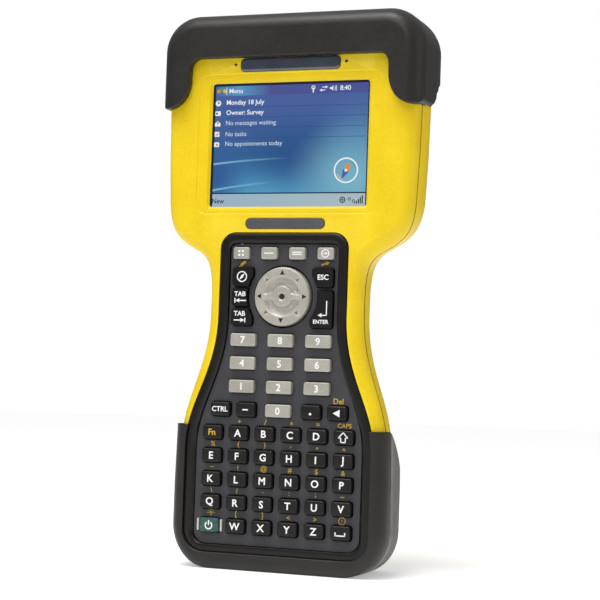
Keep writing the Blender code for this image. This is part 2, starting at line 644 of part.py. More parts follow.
def add_boots():
    rise = SEAM - BOOT_FRONT - GAP / 2 - 0.0004
    front_rings = scaled_rings(((0.04, 0.16), (0.12, 0.30), (0.24, 0.26), (0.32, 0.18), (0.28, 0.10)), 0.0062, rise)
    near = SEAM_Y - GAP / 2 - 0.0004
    front = slab(
        "front_boot", boot_outline(), near, SEAM_Y - GAP / 2, BLACK_RUBBER, front=front_rings, foot_rings=FRONT_FOOT_RINGS)
    rise = DEPTH / 2 - SEAM_Y - GAP / 2 - 0.0004
    rear_rings = scaled_rings(BOOT_REAR_RINGS, REAR_INSET, rise)
    rear = slab(
        "rear_boot", boot_outline(), SEAM_Y + GAP / 2, SEAM_Y + GAP / 2 + 0.0004, DARK_PLASTIC,
        rear=rear_rings, foot_rings=REAR_FOOT_RINGS)
    top = box("boot_top", (-FOOT_WIDTH, -DEPTH, BOOT_TOP_Z), (FOOT_WIDTH, DEPTH, BOOT_TOP_Z + 0.05))
    hollow = housing_slab("housing_in_boots", GAP, SEAM_Y, SEAM_Y)
    for boot in (front, rear):
        combine(boot, hollow)
        combine(boot, top)
    combine(front, slab("keypad_in_boot", moved_out(bezel_outline(), GAP), 2 * FRONT_Y, SEAM_Y))
    slope = [(SEAM_Y, BOOT_TOP_Z + 0.01)]
    slope += bezier(
        (SEAM_Y, BOOT_TOP_Z), (-0.004, BOOT_TOP_Z - 0.003), (0.006, BOOT_TOP_Z - 0.0155),
        (0.012, BOOT_TOP_Z - 0.0185), 6)
    slope += [(0.012, BOOT_TOP_Z - 0.0185), (DEPTH, BOOT_TOP_Z - 0.0240), (DEPTH, BOOT_TOP_Z + 0.01)]
    combine(rear, cut_across("boot_slope", slope))
    combine(rear, port_well_walls("well_walls_in_boot", GAP))
    combine(rear, port_well_box("well_in_boot"))


def add_seal():
    outer = moved_out(housing_outline(), -WALL - 2 * GAP)
    inner = moved_out(outer, -SEAL_THICKNESS)
    seal = slab("housing_seal", outer, SEAM_Y - SEAL_HALF_DEPTH, SEAM_Y + SEAL_HALF_DEPTH, BLACK_RUBBER)
    combine(seal, slab("seal_hollow", inner, SEAM_Y - 0.01, SEAM_Y + 0.01))


def badge_outline():
    return rounded_rectangle(0, LENGTH - BADGE_DROP, BADGE_WIDTH, BADGE_HEIGHT, BADGE_HEIGHT * 0.35)


def name_outline():
    return rounded_rectangle(0, LENGTH - NAME_DROP, NAME_WIDTH, NAME_HEIGHT, NAME_HEIGHT * 0.49, 3)


def add_plates():
    back = HOUSING_FRONT_Y + PLATE_SINK - GAP
    slab("badge_plate", badge_outline(), HOUSING_FRONT_Y - 0.0002, back, BADGE_BLUE, front=[(0.0006, 0.0005)])
    slab("name_plate", name_outline(), HOUSING_FRONT_Y - 0.0002, back, DARK_PLASTIC, front=[(0.0003, 0.0002)])


# ---------- screen ----------


def panel_outline():
    return rounded_rectangle(0, SCREEN_Z, SCREEN_WIDTH + 2 * PANEL_LIP, SCREEN_HEIGHT + 2 * PANEL_LIP, 0.001)


def add_screen():
    slab("touch_panel", panel_outline(), PANEL_Y, PANEL_Y + PANEL_THICKNESS, PANEL_BLUE)
    half_x = SCREEN_WIDTH / 2 + PANEL_LIP + 0.0022
    half_z = SCREEN_HEIGHT / 2 + PANEL_LIP + 0.0022
    back = DISPLAY_Y + DISPLAY_THICKNESS
    box("display_module", (-half_x, DISPLAY_Y, SCREEN_Z - half_z), (half_x, back, SCREEN_Z + half_z), ALUMINIUM, 0.0005)
    front = back + GAP
    outline = rounded_rectangle(0, SCREEN_Z, 2 * half_x + 0.003, 2 * half_z + 0.003, 0.003)
    carrier = slab("display_carrier", outline, front, front + 0.0014, DARK_PLASTIC)
    opening = rounded_rectangle(0, SCREEN_Z, 2 * half_x - 0.012, 2 * half_z - 0.012, 0.003)
    combine(carrier, slab("carrier_opening", opening, front - 0.001, front + 0.003))


# ---------- keypad ----------


def digit_keys():
    """Name, x and z of each number key."""
    keys = [("key_0", 0.0, DIGIT_BASE_Z)]
    for number in range(9):
        row, column = divmod(number, 3)
        keys.append(("key_" + str(number + 1), (column - 1) * DIGIT_PITCH_X, DIGIT_BASE_Z + (row + 1) * DIGIT_PITCH_Z))
    return keys


def letter_x(column):
    return (column - 2.5) * LETTER_PITCH_X


def letter_z(row):
    return LETTER_BASE_Z + (len(LETTER_ROWS) - 1 - row) * LETTER_PITCH_Z


def single_keys():
    """Name, outline and look of every key that moves by itself."""
    keys = []
    for number in range(4):
        outline = rounded_rectangle((number - 1.5) * SOFT_PITCH, SOFT_Z, SOFT_WIDTH, SOFT_HEIGHT, KEY_CORNER)
        keys.append(("soft_key_" + str(number + 1), outline, SILVER_KEY))
    around = {
        "app_key": (-0.0247, -0.0146, 0.1314, 0.1402), "esc_key": (0.0146, 0.0247, 0.1314, 0.1402),
        "tab_back_key": (-0.0247, -0.0150, 0.1221, 0.1304), "tab_forward_key": (-0.0247, -0.0146, 0.1131, 0.1211),
        "enter_key": (0.0141, 0.0248, 0.1126, 0.1297)}
    for name, (left, right, low, high) in around.items():
        outline = rounded_rectangle((left + right) / 2, (low + high) / 2, right - left, high - low, KEY_CORNER)
        keys.append((name, clear_of_pad(outline, PAD_RADIUS + PAD_KEY_GAP), BLACK_KEY))
    for name, x, z in digit_keys():
        keys.append((name, rounded_rectangle(x, z, DIGIT_WIDTH, DIGIT_HEIGHT, KEY_CORNER), SILVER_KEY))
    for name, x in zip(("ctrl_key", "minus_key", "point_key", "backspace_key"), SIDE_KEY_X):
        keys.append((name, rounded_rectangle(x, DIGIT_BASE_Z, LETTER_WIDTH, LETTER_HEIGHT, KEY_CORNER), BLACK_KEY))
    power = rounded_rectangle(letter_x(0), letter_z(4), LETTER_WIDTH, LETTER_HEIGHT, KEY_CORNER)
    keys.append(("power_key", power, GREEN_KEY))
    return keys


def row_columns(row):
    """The power key is alone, so its row has no key in the first column."""
    return range(1, 6) if row == 4 else range(6)


def letter_outline(row, column):
    return rounded_rectangle(letter_x(column), letter_z(row), LETTER_WIDTH, LETTER_HEIGHT, KEY_CORNER)


def add_keys():
    edge = [(0.0004, 0.0004)]
    front = KEY_TOP_Y + 0.0004
    for name, outline, look in single_keys():
        slab(name, outline, front, KEY_BACK_Y, look, front=edge)
    for row, name in enumerate(LETTER_ROWS):
        columns = row_columns(row)
        web_z = letter_z(row)
        web = box(
            name, (letter_x(columns[0]), PLATE_BACK_Y + GAP, web_z - WEB_HEIGHT / 2),
            (letter_x(columns[-1]), PLATE_BACK_Y + GAP + WEB_THICKNESS, web_z + WEB_HEIGHT / 2), BLACK_KEY)
        bm = bmesh.new()
        for column in columns:
            slab_mesh(bm, letter_outline(row, column), front, KEY_BACK_Y, front=edge)
        combine(web, add_object(name + "_caps", bm), "UNION")


def add_navigation_pad():
    rim = PAD_RADIUS
    profile = [
        (0.0, 0.0046), (0.0014, 0.0046), (0.0046, 0.0044), (0.0060, 0.0036), (0.0082, 0.0034),
        (rim - 0.0026, 0.0040), (rim - 0.0008, 0.0037), (rim, 0.0029), (rim, 0.0046 - PAD_THICKNESS),
        (0.0, 0.0046 - PAD_THICKNESS)]
    turned("nav_pad", profile, SILVER_KEY, (0.0, pivot_y(), PAD_Z), (math.radians(90), 0.0, 0.0), 36)
    half = GIMBAL_WIDTH / 2
    back = pivot_y() + GAP + GIMBAL_THICKNESS
    box("nav_gimbal", (-half, pivot_y() + GAP, PAD_Z - half), (half, back, PAD_Z + half), STEEL, 0.0002)


def pivot_y():
    """The pad tilts about a point just behind its back."""
    return KEY_TOP_Y + 0.0048


def add_keypad():
    bezel = slab(
        "keypad_bezel", bezel_outline(), BEZEL_FRONT_Y + 0.0012, BEZEL_BACK_Y, BLACK_RUBBER,
        front=[(0.0005, 0.0008), (0.0009, 0.0004)])
    combine(bezel, slab("bezel_opening", moved_out(plate_outline(), GAP), 2 * FRONT_Y, SEAM_Y))
    plate = slab("keypad_plate", plate_outline(), PLATE_FRONT_Y, PLATE_BACK_Y, PLATE_GREY)
    bm = bmesh.new()
    low, high = PLATE_FRONT_Y - 0.001, PLATE_BACK_Y + 0.001
    for name, outline, look in single_keys():
        slab_mesh(bm, moved_out(outline, KEY_CLEARANCE), low, high)
    for row in range(len(LETTER_ROWS)):
        for column in row_columns(row):
            slab_mesh(bm, moved_out(letter_outline(row, column), KEY_CLEARANCE), low, high)
    slab_mesh(bm, arc(0, PAD_Z, PAD_RADIUS + PAD_CLEARANCE, 0, 350, 35), low, high)
    combine(plate, add_object("key_openings", bm))
    mat = moved_out(plate_outline(), -MAT_MARGIN)
    slab("keypad_mat", mat, MAT_FRONT_Y, MAT_FRONT_Y + MAT_THICKNESS, BLACK_RUBBER)
    board = moved_out(plate_outline(), -BOARD_MARGIN)
    slab("keypad_board", board, BOARD_FRONT_Y, BOARD_FRONT_Y + BOARD_THICKNESS, BOARD_GREEN)


# ---------- battery ----------


def battery_screw_heights():
    return (BATTERY_BASE_Z + BATTERY_END / 2, BATTERY_TOP_Z - BATTERY_END / 2)


def add_battery():
    half = BATTERY_WIDTH / 2
    front = HOUSING_REAR_Y - BATTERY_DEPTH
    middle_z = (BATTERY_BASE_Z + BATTERY_TOP_Z) / 2
    height = BATTERY_TOP_Z - BATTERY_BASE_Z
    outline = rounded_rectangle(0, middle_z, BATTERY_WIDTH, height, 0.0015)
    case = slab("battery_case", outline, front, HOUSING_REAR_Y - 0.001, DARK_PLASTIC, rear=[(0.0010, 0.0010)])
    cell_half = half - BATTERY_WALL
    cell_low, cell_high = BATTERY_BASE_Z + BATTERY_END, BATTERY_TOP_Z - BATTERY_END
    cell_back = HOUSING_REAR_Y - 0.002
    pocket = box(
        "cell_pocket", (-cell_half, front - 0.001, cell_low), (cell_half, cell_back, cell_high))
    combine(case, pocket)
    box(
        "battery_cells", (-cell_half + GAP, front, cell_low + GAP),
        (cell_half - GAP, cell_back - GAP, cell_high - GAP), STEEL, 0.002)
    for name, z in zip(("bottom", "top"), battery_screw_heights()):
        seat = HOUSING_REAR_Y - SCREW_HEAD_HEIGHT - GAP
        counterbore = rod(
            "screw_seat_" + name, (0, seat - GAP, z), (0, DEPTH, z), SCREW_HEAD_RADIUS + SHANK_CLEARANCE)
        combine(case, counterbore)
        shaft = rod("case_hole_" + name, (0, FRONT_Y, z), (0, DEPTH, z), SCREW_SHANK_RADIUS + SHANK_CLEARANCE)
        combine(case, shaft)
        reach = seat - front + BAY_WALL
        profile = [
            (0.0, SCREW_HEAD_HEIGHT), (SCREW_HEAD_RADIUS - 0.0004, SCREW_HEAD_HEIGHT),
            (SCREW_HEAD_RADIUS, SCREW_HEAD_HEIGHT - 0.0004), (SCREW_HEAD_RADIUS, 0.0),
            (SCREW_SHANK_RADIUS, 0.0), (SCREW_SHANK_RADIUS, -reach), (0.0, -reach)]
        screw = turned("battery_screw_" + name, profile, STEEL, (0.0, seat, z), (math.radians(-90), 0.0, 0.0))
        slot = box(
            "coin_slot_" + name, (-2 * SCREW_HEAD_RADIUS, seat + SCREW_HEAD_HEIGHT - 0.0009, z - 0.0006),
            (2 * SCREW_HEAD_RADIUS, DEPTH, z + 0.0006))
        combine(screw, slot)


# ---------- boards, ports and other inner pieces ----------


def main_board_outline():
    """A wide board behind the screen with a tongue down the grip to the ports."""
    foot, waist, head = (
        FOOT_WIDTH / 2 - BOARD_WAIST_MARGIN, GRIP_WIDTH / 2 - BOARD_WAIST_MARGIN, HEAD_WIDTH / 2 - BOARD_HEAD_MARGIN)
    half = [(foot, BOARD_END_MARGIN), (foot, FOOT_SIDE_TOP_Z), (waist, WAIST_LOW_Z - 0.01)]
    half += [(waist, screw_z() + BOSS_RADIUS + 0.002), (head, LENGTH - SHOULDER_DROP)]
    half += [(head, LENGTH - BOARD_END_MARGIN)]
    return both_sides(half)


def add_main_board():
    back = MAIN_BOARD_FRONT_Y + 0.0016
    slab("main_board", main_board_outline(), MAIN_BOARD_FRONT_Y, back, BOARD_GREEN)
    turned(
        "backup_cell", [(0.0, 0.0032), (0.0092, 0.0032), (0.0100, 0.0024), (0.0100, 0.0), (0.0, 0.0)],
        STEEL, (-0.024, back + GAP, LENGTH - 0.075), (math.radians(-90), 0.0, 0.0))
    low = (-0.0215, back + GAP, LENGTH - 0.062)
    card = box("card_slot", low, (0.0215, back + GAP + 0.0052, LENGTH - 0.024), STEEL)
    mouth = box("card_mouth", (-0.0205, back + GAP + 0.001, LENGTH - 0.058), (0.0205, back + GAP + 0.0043, LENGTH))
    combine(card, mouth)


def add_ports():
    middle = (WELL_FRONT_Y + WELL_REAR_Y) / 2
    top = PORT_FACE_Z + PORT_LENGTH
    for name, x, width, height in (
            ("serial_port", SERIAL_X, SERIAL_WIDTH, SERIAL_HEIGHT), ("usb_port", USB_X, USB_WIDTH, USB_HEIGHT)):
        low, high = (x - width / 2, middle - height / 2, PORT_FACE_Z), (x + width / 2, middle + height / 2, top)
        port = box(name, low, high, STEEL)
        wall = 0.0011
        socket = box(
            name + "_socket", (low[0] + wall, low[1] + wall, 0.0),
            (high[0] - wall, high[1] - wall, PORT_FACE_Z + SOCKET_DEPTH))
        combine(port, socket)
    turned(
        "power_jack", [
            (0.0, PORT_LENGTH), (JACK_RADIUS, PORT_LENGTH), (JACK_RADIUS, 0.0), (JACK_BORE, 0.0),
            (JACK_BORE, 0.009), (0.0, 0.009)],
        BLACK_RUBBER, (JACK_X, middle, PORT_FACE_Z))


def add_speaker():
    radius, thick = SPEAKER_RADIUS, SPEAKER_THICKNESS
    profile = [
        (0.0, thick - 0.0018), (0.0050, thick - 0.0022), (radius - 0.0025, thick - 0.0004), (radius - 0.0015, thick),
        (radius, thick), (radius, thick - 0.0012), (radius * 0.6, thick - 0.0030), (radius * 0.6, 0.0), (0.0, 0.0)]
    place = (0.0, HOUSING_REAR_Y - WALL - GAP - thick, LENGTH - SPEAKER_DROP)
    turned("speaker", profile, DARK_PLASTIC, place, (math.radians(-90), 0.0, 0.0))


def add_stylus():
    radius = STYLUS_RADIUS
    top = STYLUS_LENGTH
    profile = [
        (0.0, top), (radius - 0.0006, top), (radius, top - 0.0006), (radius, 0.009), (0.0012, 0.002),
        (0.0006, 0.0), (0.0, 0.0)]
    turned("stylus", profile, DARK_PLASTIC, (STYLUS_X, STYLUS_Y, stylus_base_z()), steps=16)


def add_housing_screws():
    for name, side in (("left", -1), ("right", 1)):
        seat = screw_seat_y() + GAP
        head = BOSS_RADIUS - 0.0012 - GAP
        reach = seat - HOUSING_FRONT_Y - WALL - 0.0006
        radius = HOUSING_SCREW_RADIUS
        profile = [
            (0.0, 0.0010), (0.0010, 0.0022), (head - 0.0006, 0.0022), (head, 0.0016), (head, 0.0),
            (radius, 0.0), (radius, -reach), (0.0, -reach)]
        place = (side * HOUSING_SCREW_X, seat, screw_z())
        turned("housing_screw_" + name, profile, STEEL, place, (math.radians(-90), 0.0, 0.0), 16)


def clear_scene():
    for item in list(bpy.data.objects):
        bpy.data.objects.remove(item, do_unlink=True)


def main():
    global parts, cutters
    clear_scene()
    parts = bpy.data.collections.new("data_collector")
    cutters = bpy.data.collections.new("cutters")
    bpy.context.scene.collection.children.link(parts)
    bpy.context.scene.collection.children.link(cutters)
    add_front_housing()
    add_rear_housing()
    add_bumper()
    add_boots()
    add_seal()
    add_plates()
    add_screen()
    add_keypad()
    add_keys()
    add_navigation_pad()
    add_battery()
    add_main_board()
    add_ports()
    add_speaker()
    add_stylus()
    add_housing_screws()


main()
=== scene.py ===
import math

import bmesh
import bpy
from mathutils import Matrix, Vector, geometry


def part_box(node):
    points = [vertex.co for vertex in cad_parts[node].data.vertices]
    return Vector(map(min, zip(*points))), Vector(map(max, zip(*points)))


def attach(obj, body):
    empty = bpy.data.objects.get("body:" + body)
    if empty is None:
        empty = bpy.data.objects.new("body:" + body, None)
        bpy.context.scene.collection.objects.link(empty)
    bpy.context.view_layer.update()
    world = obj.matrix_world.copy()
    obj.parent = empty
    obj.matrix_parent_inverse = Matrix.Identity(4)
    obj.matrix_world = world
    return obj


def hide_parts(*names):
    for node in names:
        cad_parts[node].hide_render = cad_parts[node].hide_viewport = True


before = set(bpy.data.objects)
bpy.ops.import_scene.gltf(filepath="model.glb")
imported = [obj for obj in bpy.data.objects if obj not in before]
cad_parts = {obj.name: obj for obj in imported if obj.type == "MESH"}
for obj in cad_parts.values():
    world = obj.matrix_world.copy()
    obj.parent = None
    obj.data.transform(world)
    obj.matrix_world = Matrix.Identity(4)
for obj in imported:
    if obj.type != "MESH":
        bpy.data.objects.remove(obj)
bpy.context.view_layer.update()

gap = 0.0003  # clearance between pieces
print("frame loaded:", len(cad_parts), "nodes")

# Camera, in front and to the right, level with the keypad; turned by degrees
view = {"place": (0.2761, -0.7449, 0.0880), "turn": (92.774, -1.964, 20.129), "lens": 101.0}
camera = bpy.data.objects.new("camera", bpy.data.cameras.new("camera"))
camera.location = view["place"]
camera.rotation_euler = [math.radians(angle) for angle in view["turn"]]
camera.data.lens = view["lens"]
bpy.context.scene.collection.objects.link(camera)
bpy.context.scene.camera = camera
bpy.context.scene.view_settings.view_transform = "Standard"


# Finishes
class Wire:
    # one output of a node: sums written with it add Math nodes
    def __init__(self, tree, socket):
        self.tree, self.socket = tree, socket

    def maths(self, kind, *values):
        node = self.tree.nodes.new("ShaderNodeMath")
        node.operation = kind
        for socket, value in zip(node.inputs, values):
            plug(self.tree, socket, value)
        return Wire(self.tree, node.outputs[0])

    def __add__(self, other):
        return self.maths("ADD", self, other)

    def __sub__(self, other):
        return self.maths("SUBTRACT", self, other)

    def __rsub__(self, other):
        return self.maths("SUBTRACT", other, self)

    def __mul__(self, other):
        return self.maths("MULTIPLY", self, other)

    def __truediv__(self, other):
        return self.maths("DIVIDE", self, other)

    def __pow__(self, other):
        return self.maths("POWER", self, other)

    def __gt__(self, other):
        return self.maths("GREATER_THAN", self, other)

    def __lt__(self, other):
        return self.maths("LESS_THAN", self, other)

    def __abs__(self):
        return self.maths("ABSOLUTE", self)

    def orElse(self, other):
        return self.maths("MAXIMUM", self, other)

    def within(self):
        return self.maths("MAXIMUM", self.maths("MINIMUM", self, 1.0), 0.0)

    __radd__ = __add__
    __rmul__ = __mul__


def plug(tree, socket, value):
    if isinstance(value, Wire):
        tree.links.new(value.socket, socket)
    else:
        socket.default_value = value


def tint(code):
    # a colour as people write it, turned into the light values that a shader wants
    parts = [int(code[i:i + 2], 16) / 255 for i in (1, 3, 5)]
    return (*[p / 12.92 if p < 0.04045 else ((p + 0.055) / 1.055) ** 2.4 for p in parts], 1.0)


class Nodes:
    def __init__(self, tree):
        self.tree = tree

    def add(self, kind, settings, inputs, output=0):
        # a node with its settings and inputs, as the wire from one of its outputs
        node = self.tree.nodes.new("ShaderNode" + kind)
        for name, value in settings.items():
            if name == "stops":
                ramp = node.color_ramp.elements
                while len(ramp) < len(value):
                    ramp.new(0.5)
                for stop, (position, colour) in zip(ramp, value):
                    stop.position, stop.color = position, colour
            else:
                setattr(node, name, value)
        for name, value in inputs.items():
            plug(self.tree, node.inputs[name], value)
        return Wire(self.tree, node.outputs[output])


class Finish(Nodes):
    def __init__(self, name, **constants):
        self.material = bpy.data.materials.new(name)
        self.material.use_nodes = True
        super().__init__(self.material.node_tree)
        self.shader = self.tree.nodes["Principled BSDF"]
        self.place = self.add("TexCoord", {}, {}, "Object")
        self.feed(**constants)

    def mix(self, factor, first, second, blend="MIX"):
        settings = {"data_type": "RGBA", "blend_type": blend, "clamp_factor": True}
        return self.add("Mix", settings, {0: factor, 6: first, 7: second}, 2)

    def noise(self, scale, detail=2.0, rough=0.5):
        inputs = {"Vector": self.place, "Scale": scale, "Detail": detail, "Roughness": rough}
        return self.add("TexNoise", {}, inputs, "Fac")

    def cells(self, scale, output="Distance"):
        return self.add("TexVoronoi", {}, {"Vector": self.place, "Scale": scale}, output)

    def feed(self, **values):
        for name, value in values.items():
            plug(self.tree, self.shader.inputs[name.replace("_", " ")], value)

    def bump(self, height, depth):
        self.feed(Normal=self.add("Bump", {}, {"Height": height, "Distance": depth}))


def moulded(name, colour, shade, roughness, grain, depth, worn=None, **constants):
    # moulded plastic or rubber: faint clouds of colour, a fine grain, and edges rubbed a little lighter
    finish = Finish(name, **constants)
    light = worn or colour
    clouds = finish.noise(55.0, 4.0)
    skin = finish.mix((clouds - 0.35) * 2.5, tint(shade), tint(colour))
    specks = finish.noise(grain * 0.8, 2.0, 0.7)
    skin = finish.mix(((specks - 0.5) * 1.1).within(), skin, tint(light))
    skin = finish.mix(((0.5 - specks) * 0.9).within(), skin, tint(shade), "MULTIPLY")
    if worn:
        edge = finish.add("NewGeometry", {}, {}, "Pointiness")
        skin = finish.mix(((edge - 0.52) * 9.0).within() * clouds, skin, tint(worn))
    texture = finish.noise(grain, 3.0, 0.6)
    finish.feed(Base_Color=skin, Roughness=(clouds - 0.5) * 0.16 + (texture - 0.5) * 0.2 + roughness)
    finish.bump(texture, depth)
    return finish.material


def metal(name, colour, roughness, brushed=1.0):
    finish = Finish(name, Metallic=1.0)
    stretched = finish.add("Mapping", {}, {"Vector": finish.place, "Scale": (brushed, 1.0, 1.0)})
    lines = finish.add("TexNoise", {}, {"Vector": stretched, "Scale": 1500.0, "Detail": 3.0}, "Fac")
    stains = finish.noise(140.0, 4.0)
    finish.feed(Base_Color=finish.mix(stains * 0.35, tint(colour), tint("#77736C")))
    finish.feed(Roughness=lines * 0.16 + stains * 0.12 + roughness)
    finish.bump(lines, 0.000006)
    return finish.material


def printed(name, colour, roughness=0.5):
    # ink, slightly uneven, as it is printed on a key
    finish = Finish(name)
    blots = finish.noise(2600.0, 2.0)
    dull = [channel * 0.8 for channel in tint(colour)[:3]] + [1.0]
    finish.feed(Base_Color=finish.mix((blots - 0.4) * 2.0, dull, tint(colour)),
        Roughness=blots * 0.2 + roughness)
    return finish.material


def lit(name, colour):
    # one colour of the display, a little uneven from its dots
    finish = Finish(name, Roughness=0.25, Emission_Strength=1.0)
    dots = finish.cells(4200.0)
    dim = [channel * 0.82 for channel in tint(colour)[:3]] + [1.0]
    finish.feed(Base_Color=(0.01, 0.01, 0.01, 1.0), Emission_Color=finish.mix(dots, tint(colour), dim))
    return finish.material


def circuitBoard(name):
    finish = Finish(name, Coat_Weight=0.4)
    weave = finish.cells(420.0, "Color")
    tracks = (finish.cells(900.0) < 0.28) * (finish.noise(90.0) > 0.5)
    skin = finish.mix(weave, tint("#0B5A2C"), tint("#0E6B36"))
    finish.feed(Base_Color=finish.mix(tracks, skin, tint("#4FA36B")), Roughness=0.45 - tracks * 0.15)
    finish.bump(tracks, 0.00003)
    return finish.material


def powerKeyGreen(name):
    # a translucent green cap with light speckles
    finish = Finish(name, Coat_Weight=0.3)
    speckles = finish.cells(2300.0)
    skin = finish.mix((0.30 - speckles) * 9.0, tint("#12413A"), tint("#3FA183"))
    finish.feed(Base_Color=skin, Roughness=speckles * 0.3 + 0.4)
    finish.bump(speckles, 0.00004)
    return finish.material


def badgeGloss(name):
    finish = Finish(name, Coat_Weight=1.0, Coat_Roughness=0.06, Specular_IOR_Level=0.7)
    clouds = finish.noise(90.0, 3.0)
    finish.feed(Base_Color=finish.mix(clouds, tint("#232A34"), tint("#3D4856")),
        Roughness=clouds * 0.12 + 0.16)
    return finish.material


screenSizes = {"left": -0.0386, "width": 0.0772, "foot": 0.16895, "height": 0.0579}


def displayPicture(name):
    # the picture on the screen: a deep blue sky with light sweeps, a title bar and a foot bar
    finish = Finish(name, Roughness=0.12, Emission_Strength=0.92)
    u, v = [
        (finish.add("SeparateXYZ", {}, {"Vector": finish.place}, axis) - screenSizes[low]) / screenSizes[size]
        for axis, low, size in (("X", "left", "width"), ("Z", "foot", "height"))]

    def pool(centreU, centreV, reach, flat=1.0):
        away = (((u - centreU) * (1.0 / flat)) ** 2.0 + (v - centreV) ** 2.0) ** 0.5
        near = (1.0 - away / reach).within()
        return near * near * (3.0 - near * 2.0)

    picture = finish.add("ValToRGB", {"stops": [
        (0.10, tint("#3C86B8")), (0.42, tint("#33689F")), (0.62, tint("#40639F")), (0.95, tint("#4A62A6"))]},
        {0: v})
    picture = finish.mix(pool(0.40, 0.06, 0.40, 1.6), picture, tint("#58A6CC"))
    picture = finish.mix(pool(0.52, 0.42, 0.40, 1.3), picture, tint("#24558F"))
    picture = finish.mix(pool(0.02, 0.24, 0.34, 0.8) * 0.9, picture, tint("#2A5798"))
    picture = finish.mix(pool(0.92, 0.24, 0.52, 0.9) * 0.9, picture, tint("#86C4D6"))
    picture = finish.mix(pool(0.96, 0.50, 0.50, 0.7) * 0.35, picture, tint("#6AA8CC"))
    for start, rise, bend, length in ((0.345, 0.15, 0.12, 0.50), (0.13, 0.23, 0.17, 0.42)):
        line = u * rise - u * u * bend + start
        under = (1.0 - abs(v - line) / 0.011).within()
        fade = (1.0 - u / length).within()
        picture = finish.mix(under * fade, picture, tint("#9FDDEE"))
    for height in (0.81, 0.727, 0.641, 0.556):
        rule = (abs(v - height) < 0.0035) * (u > 0.09) * (u < 0.985)
        picture = finish.mix(rule * 0.55, picture, tint("#2F4B86"))
    bar = finish.mix((abs(u - 0.17) * 5.0).within(), tint("#5C9FCC"), tint("#4B5599"))
    picture = finish.mix(v > 0.905, picture, bar)
    picture = finish.mix(v < 0.112, picture, tint("#101830"))
    picture = finish.mix(v < 0.102, picture, finish.mix(u, tint("#A3BFD2"), tint("#B4C9CC")))
    # a dark border round the picture: a thin frame edge at the right, widened at the left and top into painted
    # shadow from the window's rim
    frameAndPaintedShadow = (u < 0.012).orElse(u > 0.994).orElse(v > 0.984)
    picture = finish.mix(frameAndPaintedShadow, picture, tint("#0A1024"))
    dots = finish.cells(3600.0)
    picture = finish.mix(dots * 0.22, picture, tint("#1C2C50"))
    finish.feed(Base_Color=(0.006, 0.007, 0.010, 1.0), Emission_Color=picture)
    return finish.material


finishes = {
    "yellow": moulded(
        "yellow_moulding", "#ECCE03", "#E4C303", 0.42, 1900.0, 0.00003, "#F9E04A", Specular_IOR_Level=0.35),
    "rubber": moulded(
        "bumper_rubber", "#262422", "#1F1D1B", 0.40, 1900.0, 0.00006, "#3D3A37", Specular_IOR_Level=0.36),
    "boot": moulded(
        "boot_rubber", "#67645E", "#57544F", 0.60, 1200.0, 0.0001, "#8A877F", Specular_IOR_Level=0.45),
    "bezel": moulded(
        "bezel_plastic", "#161311", "#110F0D", 0.34, 2600.0, 0.000015, "#2A2624", Specular_IOR_Level=0.3),
    "plate": moulded(
        "keypad_plate_grey", "#424246", "#3B3B3F", 0.55, 3200.0, 0.00002, Specular_IOR_Level=0.3),
    "silver": moulded(
        "silver_key_paint", "#B9B5AA", "#A19D92", 0.42, 2300.0, 0.00003, "#D2CFC6", Metallic=0.3),
    "black": moulded(
        "black_key_plastic", "#110F0D", "#0C0A09", 0.36, 3400.0, 0.00001, "#2A2623", Specular_IOR_Level=0.3),
    "darkPlastic": moulded("dark_plastic", "#4A4946", "#403F3C", 0.55, 1300.0, 0.00004, "#66645F"),
    "nameplate": moulded("name_plate_grey", "#3E3F43", "#38393D", 0.42, 3000.0, 0.00001, "#84858A"),
    "cone": moulded("speaker_cone", "#24211F", "#1B1917", 0.75, 900.0, 0.00008),
    "deep": moulded("deep_black", "#0C0A09", "#080706", 0.6, 2000.0, 0.00002),
    "insulator": moulded("connector_insulator", "#1F2326", "#191C1F", 0.4, 2200.0, 0.00001),
    "badge": badgeGloss("badge_gloss"),
    "picture": displayPicture("display_picture"),
    "board": circuitBoard("circuit_board"),
    "power": powerKeyGreen("power_key_green"),
    "aluminium": metal("aluminium_frame", "#C9CACC", 0.34, 0.05),
    "steel": metal("screw_steel", "#BEBEBC", 0.26),
    "tinned": metal("tinned_shell", "#D2CFC6", 0.22),
    "cells": metal("cell_wrap", "#8E9298", 0.38, 0.1),
    "gold": metal("gold_pins", "#D9B45A", 0.2),
    "white": printed("white_ink", "#FFFFFF"),
    "yellowInk": printed("yellow_ink", "#D9B431"),
    "orangeInk": printed("bright_yellow_ink", "#DDB02C"),
    "blackInk": printed("black_ink", "#151312", 0.35),
    "greyInk": printed("grey_ink", "#6E6A60"),
    "lightInk": printed("light_ink", "#E2DFD6"),
    "screenWhite": lit("screen_white", "#EEF3F8"),
    "screenSoft": lit("screen_soft_white", "#D2DFF0"),
    "screenDark": lit("screen_dark", "#18202E"),
    "screenOrange": lit("screen_orange", "#E08A3A"),
    "screenGreen": lit("screen_green", "#4FA05C"),
    "screenYellow": lit("screen_yellow", "#E4BE3C"),
    "screenBlue": lit("screen_blue", "#3C5EB0"),
}
print("finishes made:", len(finishes))


# Shapes
def arc(x, z, radius, start, end, steps=10):
    angles = [math.radians(start + (end - start) * i / steps) for i in range(steps + 1)]
    return [(x + radius * math.cos(a), z + radius * math.sin(a)) for a in angles]


def curve(a, b, c, d, steps=12):
    points = geometry.interpolate_bezier(Vector(a), Vector(b), Vector(c), Vector(d), steps + 1)
    return [(p.x, p.y) for p in points[:-1]]


def eased(share):
    # 0 below 0, 1 above 1, and a soft rise between them
    share = max(0.0, min(1.0, share))
    return share * share * (3 - 2 * share)


def mirrored(half):
    return half + [(-x, z) for x, z in reversed(half)]


def roundedOver(inset, rise, steps=9):
    # rings of (inset, rise) that carry an edge over on a quarter of an ellipse
    turns = [math.radians(90 * i / steps) for i in range(steps + 1)]
    return [
        (inset * (math.cos(a) - math.cos(b)), rise * (math.sin(b) - math.sin(a)))
        for a, b in zip(turns, turns[1:])]


